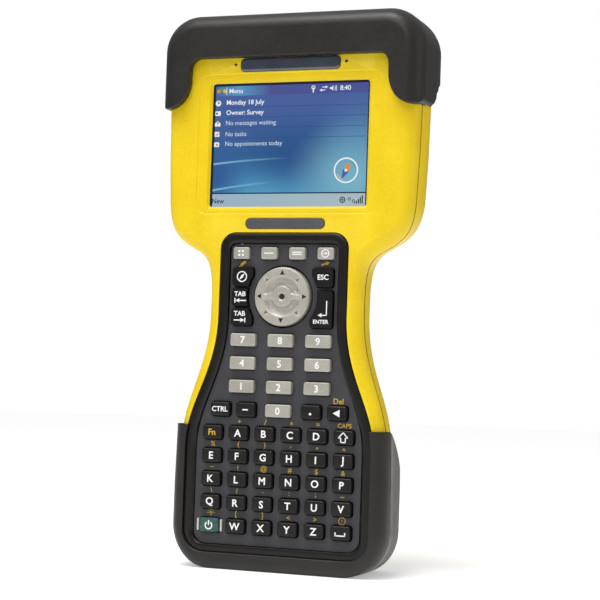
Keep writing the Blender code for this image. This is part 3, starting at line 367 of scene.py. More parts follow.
def swept(inset, rise, steps=12):
    # the same for the long slopes of the back
    points = geometry.interpolate_bezier(
        Vector((0, 0)), Vector((0.02, 0.42)), Vector((0.60, 0.93)), Vector((1, 1)), steps + 1)
    return [(inset * (b.x - a.x), rise * (b.y - a.y)) for a, b in zip(points, points[1:])]


def slab(outline, near, far, front=(), rear=(), shrink=0.0, levelled=0):
    # a plate cut to an outline, its two faces closed in ring by ring
    bm = bmesh.new()
    face = bm.faces.new([bm.verts.new((x, near, z)) for x, z in outline])
    if shrink:
        rim = bmesh.ops.inset_region(bm, faces=[face], thickness=shrink, use_even_offset=True)
        bmesh.ops.delete(bm, geom=rim["faces"], context="FACES")
    made = bmesh.ops.extrude_face_region(bm, geom=[face], use_keep_orig=True)
    moved = [item for item in made["geom"] if isinstance(item, bmesh.types.BMVert)]
    farFace = next(item for item in made["geom"] if isinstance(item, bmesh.types.BMFace))
    bmesh.ops.translate(bm, vec=(0, far - near, 0), verts=moved)
    bmesh.ops.recalc_face_normals(bm, faces=bm.faces)
    for cap, rings, towards in ((face, front, -1), (farFace, rear, 1)):
        for number, (inset, rise) in enumerate(rings):
            if inset > 1e-7:
                bmesh.ops.inset_region(bm, faces=[cap], thickness=inset, depth=0, use_even_offset=True)
            bmesh.ops.translate(bm, vec=(0, rise * towards, 0), verts=cap.verts)
            if number < levelled:
                levelFoot(cap, inset)
    return bm


def levelFoot(cap, inset, height=0.020):
    # brings a ring's lowest edge back down to the floor
    floor = min(vertex.co.z for vertex in cap.verts) - inset
    for vertex in cap.verts:
        above = vertex.co.z - floor
        if above < height:
            vertex.co.z = floor + height * (above - inset) / (height - inset)


def roundedSheet(low, high, corner, steps=6):
    # a flat rounded rectangle facing the front, as a bmesh of one face
    bm = bmesh.new()
    made = bmesh.ops.create_grid(bm, x_segments=1, y_segments=1, size=0.5)
    bmesh.ops.rotate(bm, verts=made["verts"], cent=(0, 0, 0),
        matrix=Matrix.Rotation(math.radians(90), 3, "X"))
    bmesh.ops.scale(bm, verts=made["verts"], vec=(high[0] - low[0], 1, high[1] - low[1]))
    bmesh.ops.translate(bm, verts=made["verts"], vec=((low[0] + high[0]) / 2, 0, (low[1] + high[1]) / 2))
    bmesh.ops.bevel(
        bm, geom=bm.verts[:], offset=corner, segments=steps, profile=0.5, affect="VERTICES", material=-1)
    return bm


def outlineOf(bm):
    # the corners of a one-faced bmesh, in order
    bm.faces.ensure_lookup_table()
    points = [(vertex.co.x, vertex.co.z) for vertex in bm.faces[0].verts]
    bm.free()
    return points


def roundedOutline(low, high, corner, steps=6):
    return outlineOf(roundedSheet(low, high, corner, steps))


def outlineAbout(x, z, halfWidth, halfHeight, corner, steps=6):
    return roundedOutline((x - halfWidth, z - halfHeight), (x + halfWidth, z + halfHeight), corner, steps)


def outlineOfNode(node, grow, corner, steps=6):
    low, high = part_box(node)
    return roundedOutline((low.x - grow, low.z - grow), (high.x + grow, high.z + grow), corner, steps)


def middleOf(node):
    low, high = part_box(node)
    return (low.x + high.x) / 2, (low.z + high.z) / 2


def block(low, high, bevel=0.0):
    bm = bmesh.new()
    bmesh.ops.create_cube(bm, size=1.0)
    bmesh.ops.scale(bm, vec=Vector(high) - Vector(low), verts=bm.verts)
    bmesh.ops.translate(bm, vec=(Vector(high) + Vector(low)) / 2, verts=bm.verts)
    if bevel:
        bmesh.ops.bevel(
            bm, geom=bm.edges[:], offset=bevel, segments=2, profile=0.5, affect="EDGES", material=-1)
    return bm


def rod(start, end, radius, segments=32):
    start, end = Vector(start), Vector(end)
    along = end - start
    bm = bmesh.new()
    bmesh.ops.create_cone(
        bm, cap_ends=True, segments=segments, radius1=radius, radius2=radius, depth=along.length)
    turn = Vector((0, 0, 1)).rotation_difference(along)
    bmesh.ops.rotate(bm, verts=bm.verts, cent=(0, 0, 0), matrix=turn.to_matrix())
    bmesh.ops.translate(bm, verts=bm.verts, vec=(start + end) / 2)
    return bm


def turned(profile, centre, axis="Y", steps=48):
    # spins a profile of (radius, distance along the axis) about that axis, through the centre
    bm = bmesh.new()
    along = {"Y": Vector((0, 1, 0)), "Z": Vector((0, 0, 1))}[axis]
    points = [
        bm.verts.new(Vector(centre) + Vector((radius, 0, 0)) + along * height) for radius, height in profile]
    for a, b in zip(points, points[1:]):
        bm.edges.new((a, b))
    bmesh.ops.spin(
        bm, geom=bm.verts[:] + bm.edges[:], cent=centre, axis=along, angle=math.radians(360), steps=steps,
        use_merge=True)
    bmesh.ops.remove_doubles(bm, verts=bm.verts, dist=1e-6)
    bmesh.ops.recalc_face_normals(bm, faces=bm.faces)
    return bm


def helper(bm):
    # a bmesh as an object that takes part in a carving
    mesh = bpy.data.meshes.new("helper")
    bmesh.ops.recalc_face_normals(bm, faces=bm.faces)
    bm.to_mesh(mesh)
    bm.free()
    item = bpy.data.objects.new("helper", mesh)
    bpy.context.scene.collection.objects.link(item)
    return item


def carved(bm, *tools):
    # takes each bmesh away in turn; one that comes as ("UNION", bmesh) is joined on instead
    work = helper(bm)
    cutters = []
    for tool in tools:
        operation, tool = tool if isinstance(tool, tuple) else ("DIFFERENCE", tool)
        cutters.append(helper(tool))
        change = work.modifiers.new("Carve", "BOOLEAN")
        change.operation, change.solver, change.object = operation, "EXACT", cutters[-1]
    result = bmesh.new()
    result.from_object(work, bpy.context.evaluated_depsgraph_get())
    bmesh.ops.remove_doubles(result, verts=result.verts, dist=2e-6)
    for item in [work, *cutters]:
        mesh = item.data
        bpy.data.objects.remove(item)
        bpy.data.meshes.remove(mesh)
    return result


def gathered(*shapes):
    # several bmeshes as one
    bm = bmesh.new()
    for shape in shapes:
        joinShape(bm, shape)
    return bm


def joinShape(bm, shape, finish=0):
    for face in shape.faces:
        face.material_index = finish
    mesh = bpy.data.meshes.new("joined")
    shape.to_mesh(mesh)
    shape.free()
    bm.from_mesh(mesh)
    bpy.data.meshes.remove(mesh)


def makePiece(name, bm, looks, body="housing", replaced=(), edge=0.0):
    # the finished piece: its looks, its place in the model and the node that it stands for
    wide = [face for face in bm.faces if len(face.verts) > 4]
    bmesh.ops.triangulate(bm, faces=wide, quad_method="BEAUTY", ngon_method="BEAUTY")
    mesh = bpy.data.meshes.new(name)
    bm.to_mesh(mesh)
    bm.free()
    piece = bpy.data.objects.new(name, mesh)
    bpy.context.scene.collection.objects.link(piece)
    for look in [looks] if isinstance(looks, str) else looks:
        mesh.materials.append(finishes[look])
    mesh.shade_smooth()
    mesh.set_sharp_from_angle(angle=math.radians(32))
    if edge:
        softened = piece.modifiers.new("Softened edges", "BEVEL")
        softened.width, softened.segments, softened.limit_method = edge, 3, "ANGLE"
        softened.angle_limit = math.radians(40)
        softened.use_clamp_overlap = False
    evened = piece.modifiers.new("Even shading", "WEIGHTED_NORMAL")
    evened.keep_sharp = True
    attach(piece, body)
    if replaced:
        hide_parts(*replaced)


# Housing, boots and bumper: sizes in metres, from the middle of the foot
housing = {
    "foot": 0.0506, "footCorner": 0.0185, "base": 0.003, "footTop": 0.056, "waist": 0.0376, "waistLow": 0.118,
    "waistHigh": 0.124, "neck": (0.0452, 0.148), "shoulder": (0.0608, 0.172), "head": 0.0626,
    "headCorner": 0.017, "top": 0.2566, "seam": -0.0115, "front": -0.0193, "rear": 0.0215,
    "frontInset": 0.006, "rearInset": 0.0125, "wall": 0.0022, "groove": 0.0009, "band": 0.0004, "bulge": 0.0022}
boot = {
    "side": 0.0528, "corner": 0.020, "front": -0.0211, "rear": 0.024, "top": 0.0665, "inset": 0.0062,
    "rearInset": 0.0125, "tuck": 0.0007,
    # shares of the back's inset and rise, ring by ring, up to the flat of the back
    "rearRings": [
        (0.01, 0.10), (0.01, 0.10), (0.02, 0.11), (0.03, 0.11), (0.04, 0.09), (0.06, 0.09), (0.08, 0.08),
        (0.09, 0.07), (0.11, 0.07), (0.13, 0.06), (0.14, 0.05), (0.12, 0.04), (0.10, 0.02), (0.06, 0.01)]}
bumper = {
    "side": 0.06445, "corner": 0.0175, "top": 0.2602, "front": -0.024, "rear": 0.024, "legs": 0.215,
    "legInner": 0.049, "notchTop": 0.2386, "frontInset": 0.008, "frontRise": 0.010,
    "rearInset": 0.010, "rearRise": 0.020}
battery = {"half": 0.020, "low": 0.074, "high": 0.148, "front": 0.0035,
    "screws": (0.079, 0.143), "seat": 0.0194}
well = {"half": 0.033, "front": -0.001, "rear": 0.013, "top": 0.009, "wall": 0.003}
stylus = {
    "x": 0.041, "y": 0.003, "radius": 0.0027, "base": 0.163, "top": 0.259, "clearance": 0.0005, "tube": 0.0018}
window = {"slope": 0.0017, "corner": 0.0028}
field = {"half": 0.0455, "low": 0.1652, "high": 0.2316, "corner": 0.0055, "depth": 0.00028}
indicator = {"x": 0.0274, "z": 0.2358, "radius": 0.00075, "depth": 0.0012}
speakerSlots = {"z": 0.2172, "pitch": 0.0034, "reach": 0.010, "step": 0.0012, "half": 0.0007}
screwBoss = {"x": 0.038, "z": 0.156, "radius": 0.0042, "head": 0.0030, "shank": 0.0018}
beyond = 0.048  # behind everything, so that a cut goes right through


def housingOutline(grow=0.0):
    s = housing
    foot, waist, head = s["foot"] + grow, s["waist"] + grow, s["head"] + grow
    neck, shoulder = (s["neck"][0] + grow, s["neck"][1]), (s["shoulder"][0] + grow, s["shoulder"][1])
    corner, headCorner = s["footCorner"] + grow, s["headCorner"] + grow
    half = arc(foot - corner, s["base"] - grow + corner, corner, -90, 0, 12)
    half += curve(
        (foot, s["footTop"]), (foot - 0.0004, s["footTop"] + 0.024),
        (waist + 0.0004, s["waistLow"] - 0.026), (waist, s["waistLow"]), 20)
    half += [(waist, s["waistLow"])]
    half += curve(
        (waist, s["waistHigh"]), (waist - 0.0002, neck[1] - 0.007), (neck[0] - 0.0056, neck[1] - 0.0035),
        neck, 14)
    half += curve(
        neck, (head - 0.0072, neck[1] + 0.0054), (head - 0.0026, neck[1] + 0.0085), shoulder, 14)
    half += [shoulder, (head - 0.0009, 0.193)]
    half += arc(head - headCorner, s["top"] + grow - headCorner, headCorner, 0, 90, 14)
    return mirrored(half)


def bootOutline():
    side, corner = boot["side"], boot["corner"]
    half = arc(side - corner, corner, corner, -90, 0, 14)
    half += [(side, 0.040), (side - 0.0006, boot["top"]), (side - 0.0010, boot["top"] + 0.015)]
    return mirrored(half)


def bumperOutline():
    side, corner = bumper["side"], bumper["corner"]
    half = [(side - 0.0004, 0.185), (side - 0.0003, 0.200), (side, 0.2202)]
    half += arc(side - corner, bumper["top"] - corner, corner, 0, 90, 14)
    return mirrored(half)


def keypadOutline(foot, waist, base, top, baseCorner, topCorner, grow=0.0):
    foot, waist, base, top = foot + grow, waist + grow, base - grow, top + grow
    half = arc(foot - baseCorner, base + baseCorner, baseCorner, -90, 0, 10)
    half += curve(
        (foot, housing["footTop"]), (foot, housing["footTop"] + 0.021),
        (waist, housing["waistLow"] - 0.028), (waist, housing["waistLow"]), 18)
    half += [(waist, housing["waistLow"]), (waist, 0.134)]
    half += arc(waist - topCorner, top - topCorner, topCorner, 0, 90, 10)
    return mirrored(half)


def bezelOutline(grow=0.0):
    return keypadOutline(0.0462, 0.0314, 0.0070, 0.1564, 0.0105, 0.0075, grow)


def plateOutline(grow=0.0):
    return keypadOutline(0.0406, 0.0266, 0.0115, 0.1512, 0.0060, 0.0030, grow)


def fullerHead(bm):
    # the head's sides stay wide for longer towards the back than the grip's do
    s = housing
    for vertex in bm.verts:
        back = (vertex.co.y - s["seam"] - 0.001) / (s["rear"] - s["seam"])
        reach = max(0.0, min(1.0, (abs(vertex.co.x) - 0.030) / 0.015))
        if back > 0:
            rise = eased((vertex.co.z - 0.150) / 0.025)
            push = s["bulge"] * math.sin(math.pi * min(1.0, back ** 0.8)) * rise * reach
            vertex.co.x += math.copysign(push, vertex.co.x)
    return bm


def housingSolid(grow):
    # both halves of the outside as one, to cut the boots and the bumper to it
    s = housing
    return fullerHead(slab(
        housingOutline(grow), s["seam"] - grow, s["seam"] + grow,
        front=roundedOver(s["frontInset"], s["seam"] - s["front"]),
        rear=swept(s["rearInset"], s["rear"] - s["seam"])))


def makeFrontHousing():
    s = housing
    far = s["seam"] - s["groove"] / 2
    near = far - s["band"]
    shape = slab(housingOutline(), near, far, front=roundedOver(s["frontInset"], near - s["front"], 11))
    hollow = slab(
        housingOutline(), s["seam"], s["seam"] + 0.002, shrink=s["wall"],
        front=roundedOver(s["frontInset"] - 0.001, s["seam"] - s["front"] - s["wall"], 4))
    left, foot = screenSizes["left"], screenSizes["foot"]
    right, top = left + screenSizes["width"], foot + screenSizes["height"]
    slope = window["slope"]
    mouth = slab(
        roundedOutline((left - slope, foot - slope), (right + slope, top + slope), window["corner"]),
        s["front"] - 0.001, s["front"], rear=[(slope * 0.12, 0.0002), (slope * 0.88, 0.0014)])
    opening = slab(roundedOutline((left, foot), (right, top), 0.0006), s["front"], s["seam"])
    pocket = slab(outlineOfNode("touch_panel", gap, 0.001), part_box("touch_panel")[0].y - gap, s["seam"])
    keypad = slab(bezelOutline(gap), -0.030, s["seam"])
    sunk = slab(
        roundedOutline((-field["half"], field["low"]), (field["half"], field["high"]), field["corner"], 8),
        s["front"] - 0.001, s["front"], rear=[(0.0004, field["depth"])])
    tools = [hollow, sunk, mouth, opening, pocket, keypad]
    for node, corner in (("badge_plate", 0.0022), ("name_plate", 0.0025)):
        tools.append(slab(outlineOfNode(node, gap, corner), -0.030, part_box(node)[1].y + gap))
    t = indicator
    places = {"left": -t["x"], "right": t["x"]}
    for x in places.values():
        tools.append(rod((x, -0.030, t["z"]), (x, s["front"] + t["depth"], t["z"]), t["radius"], 20))
    shape = carved(shape, *tools)
    makePiece("front_shell", shape, "yellow", replaced=["front_housing"])
    for side, x in places.items():
        lens = turned(
            [(0.0, -0.0003), (0.0004, -0.00024), (0.00072, 0.0), (0.00072, 0.0003), (0.0, 0.0003)],
            (x, s["front"] + 0.0009, t["z"]), steps=20)
        makePiece("indicator_" + side, lens, "deep")


def wellWalls(grow):
    s = well
    low = (-s["half"] - s["wall"] - grow, s["front"] - s["wall"] - grow, 0.0041 - grow)
    return block(low, (s["half"] + s["wall"] + grow, s["rear"] + s["wall"] + grow,
        s["top"] + s["wall"] + grow))


def wellSpace():
    return block((-well["half"], well["front"], -0.010), (well["half"], well["rear"], well["top"]))


def stylusBore():
    base = (stylus["x"], stylus["y"], stylus["base"] - gap)
    return rod(base, (stylus["x"], stylus["y"], 0.270), stylus["radius"] + stylus["clearance"], 32)


def makeRearHousing():
    s = housing
    near = s["seam"] + s["groove"] / 2
    far = near + s["band"]
    shape = fullerHead(slab(housingOutline(), near, far, rear=swept(s["rearInset"], s["rear"] - far, 14)))
    hollow = slab(
        housingOutline(), s["seam"] - 0.002, s["seam"], shrink=s["wall"],
        rear=swept(s["rearInset"], s["rear"] - s["seam"] - s["wall"], 6))
    b, half, front = battery, battery["half"] + gap, battery["front"] - gap
    tools = [
        hollow,
        ("UNION", block(
            (-half - 0.0018, front - 0.0018, b["low"] - 0.0021),
            (half + 0.0018, s["rear"] - 0.0011, b["high"] + 0.0021))),
        block((-half, front, b["low"] - gap), (half, beyond, b["high"] + gap)),
        ("UNION", wellWalls(0.0)), wellSpace()]
    for z in b["screws"]:
        tools.append(rod((0, front - 0.0036, z), (0, front + 0.0018, z), 0.0023))
    for node in ("serial_port", "usb_port"):
        low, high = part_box(node)
        tools.append(block(
            (low.x - gap, low.y - gap, well["top"] - 0.001),
            (high.x + gap, high.y + gap, well["top"] + 0.006)))
    low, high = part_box("power_jack")
    middle = (low + high) / 2
    tools.append(rod((middle.x, middle.y, 0.008), (middle.x, middle.y, 0.015), 0.0043))
    t = screwBoss
    for side in (-1, 1):
        x, z = side * t["x"], t["z"]
        tools.append(("UNION", rod((x, near, z), (x, 0.0125, z), t["radius"])))
        tools.append(rod((x, 0.0090, z), (x, beyond, z), t["head"]))
        tools.append(rod((x, -0.020, z), (x, beyond, z), t["shank"]))
    slots, t = [], speakerSlots
    for row in range(-2, 3):
        z, reach = t["z"] + row * t["pitch"], t["reach"] - t["step"] * abs(row)
        slots.append(slab(outlineAbout(0, z, reach, t["half"], 0.00069, 4), 0.0171, beyond))
    tools.append(gathered(*slots))
    tube = rod(
        (stylus["x"], stylus["y"], stylus["base"] - 0.0026), (stylus["x"], stylus["y"], 0.2506),
        stylus["radius"] + stylus["tube"], 32)
    tools += [("UNION", tube), stylusBore()]
    makePiece("rear_shell", carved(shape, *tools), "yellow", replaced=["rear_housing"])


def acrossCut(profile):
    # a cutter with one outline of (y, z), run from side to side
    bm = bmesh.new()
    face = bm.faces.new([bm.verts.new((-0.1, y, z)) for y, z in profile])
    made = bmesh.ops.extrude_face_region(bm, geom=[face], use_keep_orig=True)
    moved = [item for item in made["geom"] if isinstance(item, bmesh.types.BMVert)]
    bmesh.ops.translate(bm, vec=(0.2, 0, 0), verts=moved)
    return bm


def makeBumper():
    s = bumper
    shape = slab(
        bumperOutline(), s["front"] + s["frontRise"], s["rear"] - s["rearRise"],
        front=roundedOver(s["frontInset"], s["frontRise"], 14),
        rear=roundedOver(s["rearInset"], s["rearRise"], 14))
    side, inner, legs, top = s["side"], s["legInner"], s["legs"], s["notchTop"]
    half = [(side + 0.003, legs - 0.02), (side + 0.003, legs + 0.0075)]
    half += curve(
        (side, legs + 0.0035), (side - 0.0004, legs + 0.0014), (side - 0.0016, legs),
        (side - 0.0045, legs), 8)
    half += curve((side - 0.0045, legs), (inner + 0.0065, legs), (inner + 0.0005, legs + 0.004),
        (inner, legs + 0.014), 14)
    half += arc(inner - 0.005, top - 0.005, 0.005, 0, 90, 10)
    notch = mirrored(half)
    profile = [(-0.034, 0.175), (-0.034, legs)]
    profile += curve((housing["seam"], legs), (-0.002, legs), (0.004, legs + 0.0045),
        (0.008, legs + 0.0120), 12)
    profile += [(0.008, legs + 0.0120), (0.024, legs + 0.0180), (0.030, legs + 0.0180), (0.030, 0.175)]
    under = acrossCut(profile)
    shape = carved(
        shape, housingSolid(gap), slab(notch, -0.034, 0.0045),
        slab([(x, z + 0.007) for x, z in notch], 0.004, beyond), under, stylusBore())
    makePiece("bumper", shape, "rubber", replaced=["top_bumper"], edge=0.0005)


def makeBoots():
    s, seam, half, band = boot, housing["seam"], housing["groove"] / 2, housing["band"]
    near = seam - half - band
    front = slab(
        bootOutline(), near, seam - half, front=roundedOver(s["inset"], near - s["front"], 9), levelled=5)
    far = seam + half + band
    fullRings = [(s["rearInset"] * inset, (s["rear"] - far) * rise) for inset, rise in s["rearRings"]]
    rear = slab(bootOutline(), seam + half, far, rear=fullRings, levelled=8)
    above = (-0.11, -0.05, s["top"]), (0.11, 0.05, s["top"] + 0.05)
    front = carved(
        front, housingSolid(gap), block(*above), slab(bezelOutline(-s["tuck"]), -beyond, seam))
    makePiece("boot_front", front, "rubber", replaced=["front_boot"], edge=0.0005)
    slope = [(seam, s["top"] + 0.01)]
    slope += curve(
        (seam, s["top"]), (-0.004, s["top"] - 0.003), (0.006, s["top"] - 0.0155),
        (0.012, s["top"] - 0.0185), 12)
    slope += [(0.012, s["top"] - 0.0185), (beyond, s["top"] - 0.0345), (beyond, s["top"] + 0.01)]
    rear = carved(rear, housingSolid(gap), block(*above), acrossCut(slope), wellWalls(gap), wellSpace())
    makePiece("boot_rear", rear, "boot", replaced=["rear_boot"], edge=0.0004)


makeFrontHousing()
makeRearHousing()
print("housing made")
makeBumper()
makeBoots()
print("bumper and boots made")


# Lettering and signs
ink = {"proud": 0.00003, "depth": 0.00018, "bold": 0.022}


def lettering(text, centre, size, front, bold=ink["bold"]):
    # words as a thin raised solid, centred on (x, z)
    words = bpy.data.curves.new("words", "FONT")
    words.body, words.size, words.resolution_u = text, size, 3
    words.offset = size * bold
    words.extrude = ink["depth"] / 2
    holder = bpy.data.objects.new("words", words)
    bpy.context.scene.collection.objects.link(holder)
    bpy.context.view_layer.update()
    mesh = bpy.data.meshes.new_from_object(holder.evaluated_get(bpy.context.evaluated_depsgraph_get()))
    bpy.data.objects.remove(holder)
    bm = bmesh.new()
    bm.from_mesh(mesh)
    bpy.data.meshes.remove(mesh)
    bmesh.ops.rotate(bm, verts=bm.verts, cent=(0, 0, 0), matrix=Matrix.Rotation(math.radians(90), 3, "X"))
    xs, zs = [v.co.x for v in bm.verts], [v.co.z for v in bm.verts]
    shift = Vector((centre[0] - (min(xs) + max(xs)) / 2, front - ink["proud"] + ink["depth"] / 2,
                    centre[1] - (min(zs) + max(zs)) / 2))
    bmesh.ops.translate(bm, verts=bm.verts, vec=shift)
    bmesh.ops.remove_doubles(bm, verts=bm.verts, dist=1e-7)
    return bm


def patch(points, front):
    # a flat sign cut to an outline, as thick as the lettering
    return slab(points, front - ink["proud"], front - ink["proud"] + ink["depth"])


def stroke(a, b, width, front):
    a, b = Vector(a), Vector(b)
    side = Vector((a.y - b.y, b.x - a.x)).normalized() * width / 2
    return patch([tuple(p) for p in (a - side, b - side, b + side, a + side)], front)


def strokes(points, width, front):
    # a bent line, its corners filled with discs
    shapes = [stroke(a, b, width, front) for a, b in zip(points, points[1:])]
    shapes += [patch(arc(x, z, width / 2, 0, 330, 11), front) for x, z in points[1:-1]]
    return gathered(*shapes)


def hoop(centre, radius, width, front, start=0.0, end=360.0, steps=28):
    bm = bmesh.new()
    low = front - ink["proud"]
    inner, outer = radius - width / 2, radius + width / 2
    corners = [(inner, low), (outer, low), (outer, low + ink["depth"]), (inner, low + ink["depth"])]
    face = bm.faces.new([bm.verts.new((centre[0] + r, y, centre[1])) for r, y in corners])
    pivot = (centre[0], front, centre[1])
    bmesh.ops.rotate(bm, verts=bm.verts, cent=pivot, matrix=Matrix.Rotation(-math.radians(start), 3, "Y"))
    whole = end - start >= 360.0
    bmesh.ops.spin(
        bm, geom=[face, *face.edges, *face.verts], cent=pivot, axis=(0, -1, 0),
        angle=math.radians(end - start),
        steps=steps, use_merge=whole)
    if whole:
        inside = [f for f in bm.faces if all(len(e.link_faces) > 2 for e in f.edges)]
        bmesh.ops.delete(bm, geom=inside, context="FACES_ONLY")
    bmesh.ops.recalc_face_normals(bm, faces=bm.faces)
    return bm


def disc(centre, radius, front, steps=20):
    return patch(arc(*centre, radius, 0, 360 - 360 / steps, steps - 1), front)


def triangle(centre, radius, towards, front):
    # a filled arrowhead that points at an angle, in degrees from +X towards +Z
    corners = [math.radians(towards + turn) for turn in (0, 125, 235)]
    points = [(centre[0] + radius * math.cos(a), centre[1] + radius * math.sin(a)) for a in corners]
    return patch(points, front)


# Keypad
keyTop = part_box("key_5")[0].y
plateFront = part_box("keypad_plate")[0].y
padCentre = (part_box("nav_pad")[0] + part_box("nav_pad")[1]) / 2
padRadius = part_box("nav_pad")[1].x
letter = {"width": 0.0097, "height": 0.0067, "pitch": 0.0129, "corner": 0.0013}
keyEdge = {"silver": (0.0007, 4), "black": (0.0010, 4), "power": (0.0008, 3)}
letterRows = {
    "fn_to_shift_keys": ["Fn", "A", "B", "C", "D", "shift"],
    "e_to_j_keys": list("EFGHIJ"), "k_to_p_keys": list("KLMNOP"), "q_to_v_keys": list("QRSTUV"),
    "w_to_space_keys": ["", "W", "X", "Y", "Z", "space"]}
padGap = 0.0036  # from the pad to the keys round it
opening = 0.0004  # from a key to the edge of its hole in the plate


def letterPlaces(node):
    # the middle of each place for a key in a row of letters, counted from the right
    low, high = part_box(node)
    first = high.x - letter["width"] / 2 - 5 * letter["pitch"]
    return [(first + column * letter["pitch"], (low.z + high.z) / 2) for column in range(6)]


def letterCorners(x, z, near, far):
    half, rise = letter["width"] / 2, letter["height"] / 2
    return Vector((x - half, near, z - rise)), Vector((x + half, far, z + rise))


roundPad = {
    "app_key": ((-0.0247, 0.1314), (-0.0146, 0.1402)), "esc_key": ((0.0146, 0.1314), (0.0247, 0.1402)),
    "tab_back_key": ((-0.0247, 0.1221), (-0.0150, 0.1304)),
    "tab_forward_key": ((-0.0247, 0.1131), (-0.0146, 0.1211)),
    "enter_key": ((0.0141, 0.1126), (0.0248, 0.1297))}


def keyCap(low, high, corner, kind, around=False, grow=0.0):
    # a key cap with a soft edge; the ones beside the pad are cut back to a circle round it
    outline = roundedOutline((low.x - grow, low.z - grow), (high.x + grow, high.z + grow), corner)
    bm = slab(outline, low.y, high.y)
    if around:
        reach = padRadius + padGap - grow
        bm = carved(bm, rod((0, low.y - 1, padCentre.z), (0, high.y + 1, padCentre.z), reach, 180))
        bends = [
            e for e in bm.edges
            if abs(e.verts[0].co.y - e.verts[1].co.y) > 0.001 and e.calc_face_angle() > math.radians(25)]
        bmesh.ops.bevel(
            bm, geom=bends, offset=corner * 0.7, segments=5, profile=0.5, affect="EDGES", material=-1)
    if not grow:
        offset, segments = keyEdge[kind]
        rim = [
            e for e in bm.edges
            if all(v.co.y < low.y + 1e-6 for v in e.verts) and e.calc_face_angle() > math.radians(45)]
        bmesh.ops.bevel(
            bm, geom=rim, offset=offset, segments=segments, profile=0.5, affect="EDGES", material=-1,
            clamp_overlap=True)
    return bm


def keyBox(name):
    # a key's corners; beside the pad they are the ones it has before it is cut back
    low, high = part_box(name)
    if name in roundPad:
        (low.x, low.z), (high.x, high.z) = roundPad[name]
    return low, high


def shiftSign(x, z):
    arrow = [(0, 0.0023), (0.0023, -0.0001), (0.0011, -0.0001), (0.0011, -0.0021), (-0.0011, -0.0021),
             (-0.0011, -0.0001), (-0.0023, -0.0001), (0, 0.0023)]
    points = [(x + a, z + b) for a, b in arrow]
    return gathered(*[stroke(a, b, 0.0005, keyTop) for a, b in zip(points, points[1:])])


def spaceSign(x, z):
    points = [(x - 0.0023, z + 0.0004), (x - 0.0023, z - 0.0011), (x + 0.0023, z - 0.0011),
        (x + 0.0023, z + 0.0004)]
    return strokes(points, 0.0006, keyTop)


def powerSign(x, z):
    return gathered(
        hoop((x, z - 0.0002), 0.00165, 0.0006, keyTop, 125, 415, 22),
        stroke((x, z), (x, z + 0.0022), 0.0006, keyTop))


def tabSign(x, z, forward):
    side = 1 if forward else -1
    shapes = [lettering("TAB", (x - 0.0002, z + 0.0016), 0.0031, keyTop)]
    line = z - 0.0015
    shapes.append(stroke((x - side * 0.0030, line), (x + side * 0.0006, line), 0.00055, keyTop))
    shapes.append(triangle((x + side * 0.0011, line), 0.0012, 0 if forward else 180, keyTop))
    shapes.append(stroke((x + side * 0.0026, line - 0.0011), (x + side * 0.0026, line + 0.0011),
        0.0005, keyTop))
    return gathered(*shapes)


def enterSign(x, z):
    return gathered(
        lettering("ENTER", (x - 0.0006, z - 0.0056), 0.0025, keyTop),
        strokes([(x + 0.0020, z + 0.0040), (x + 0.0020, z - 0.0026), (x - 0.0006, z - 0.0026)],
        0.0005, keyTop),
        triangle((x - 0.0010, z - 0.0026), 0.0012, 180, keyTop))


def compassSign(x, z):
    # a plain compass: a ring with a needle
    needle = [(x + 0.0014, z + 0.0016), (x + 0.0004, z - 0.0005), (x - 0.0014, z - 0.0016),
        (x - 0.0004, z + 0.0005)]
    return gathered(hoop((x, z), 0.0023, 0.0005, keyTop), patch(needle, keyTop))


def softSign(number, x, z):
    if number == 1:  # four dots
        corners = [(x + a, z + b) for a in (-0.0009, 0.0009) for b in (-0.0009, 0.0009)]
        return gathered(*[disc(corner, 0.00055, keyTop, 14) for corner in corners])
    if number == 2:
        return stroke((x - 0.0023, z), (x + 0.0023, z), 0.0005, keyTop)
    if number == 3:
        return gathered(*[
            stroke((x - 0.0023, z + b), (x + 0.0023, z + b), 0.0005, keyTop) for b in (-0.0005, 0.0005)])
    return gathered(
        hoop((x, z), 0.0017, 0.00045, keyTop), stroke((x - 0.0009, z), (x + 0.0002, z), 0.0005, keyTop),
        triangle((x + 0.0004, z), 0.0009, 0, keyTop))


signs = {
    "app_key": lambda x, z: compassSign(x - 0.0003, z + 0.0001),
    "esc_key": lambda x, z: lettering("ESC", (x + 0.0004, z + 0.0002), 0.0033, keyTop),
    "tab_back_key": lambda x, z: tabSign(x - 0.0006, z, False),
    "tab_forward_key": lambda x, z: tabSign(x - 0.0007, z, True),
    "enter_key": lambda x, z: enterSign(x + 0.0008, z),
    "ctrl_key": lambda x, z: lettering("CTRL", (x, z), 0.0033, keyTop),
    "minus_key": lambda x, z: stroke((x - 0.0014, z), (x + 0.0014, z), 0.0006, keyTop),
    "point_key": lambda x, z: disc((x, z - 0.0008), 0.0006, keyTop, 16),
    "backspace_key": lambda x, z: triangle((x + 0.0003, z), 0.0021, 180, keyTop),
    "power_key": powerSign,
}


def makeKey(name):
    low, high = keyBox(name)
    x, z = (low.x + high.x) / 2, (low.z + high.z) / 2
    if name.startswith(("soft_key", "key_")):
        kind, corner, slot = "silver", 0.0011, "silver_key"
    else:
        kind, corner, slot = "black", letter["corner"], "black_key"
    if name == "power_key":
        kind, slot = "power", "green_key"
    bm = keyCap(low, high, corner, kind, name in roundPad)
    if name.startswith("soft_key"):
        sign = softSign(int(name[-1]), x, z)
    elif name.startswith("key_"):
        sign = lettering(name[-1], (x, z), 0.0046, keyTop)
    else:
        sign = signs[name](x, z)
    joinShape(bm, sign, 1)
    makePiece(name + "_cap", bm, [kind, "white"], body=name, replaced=[name])


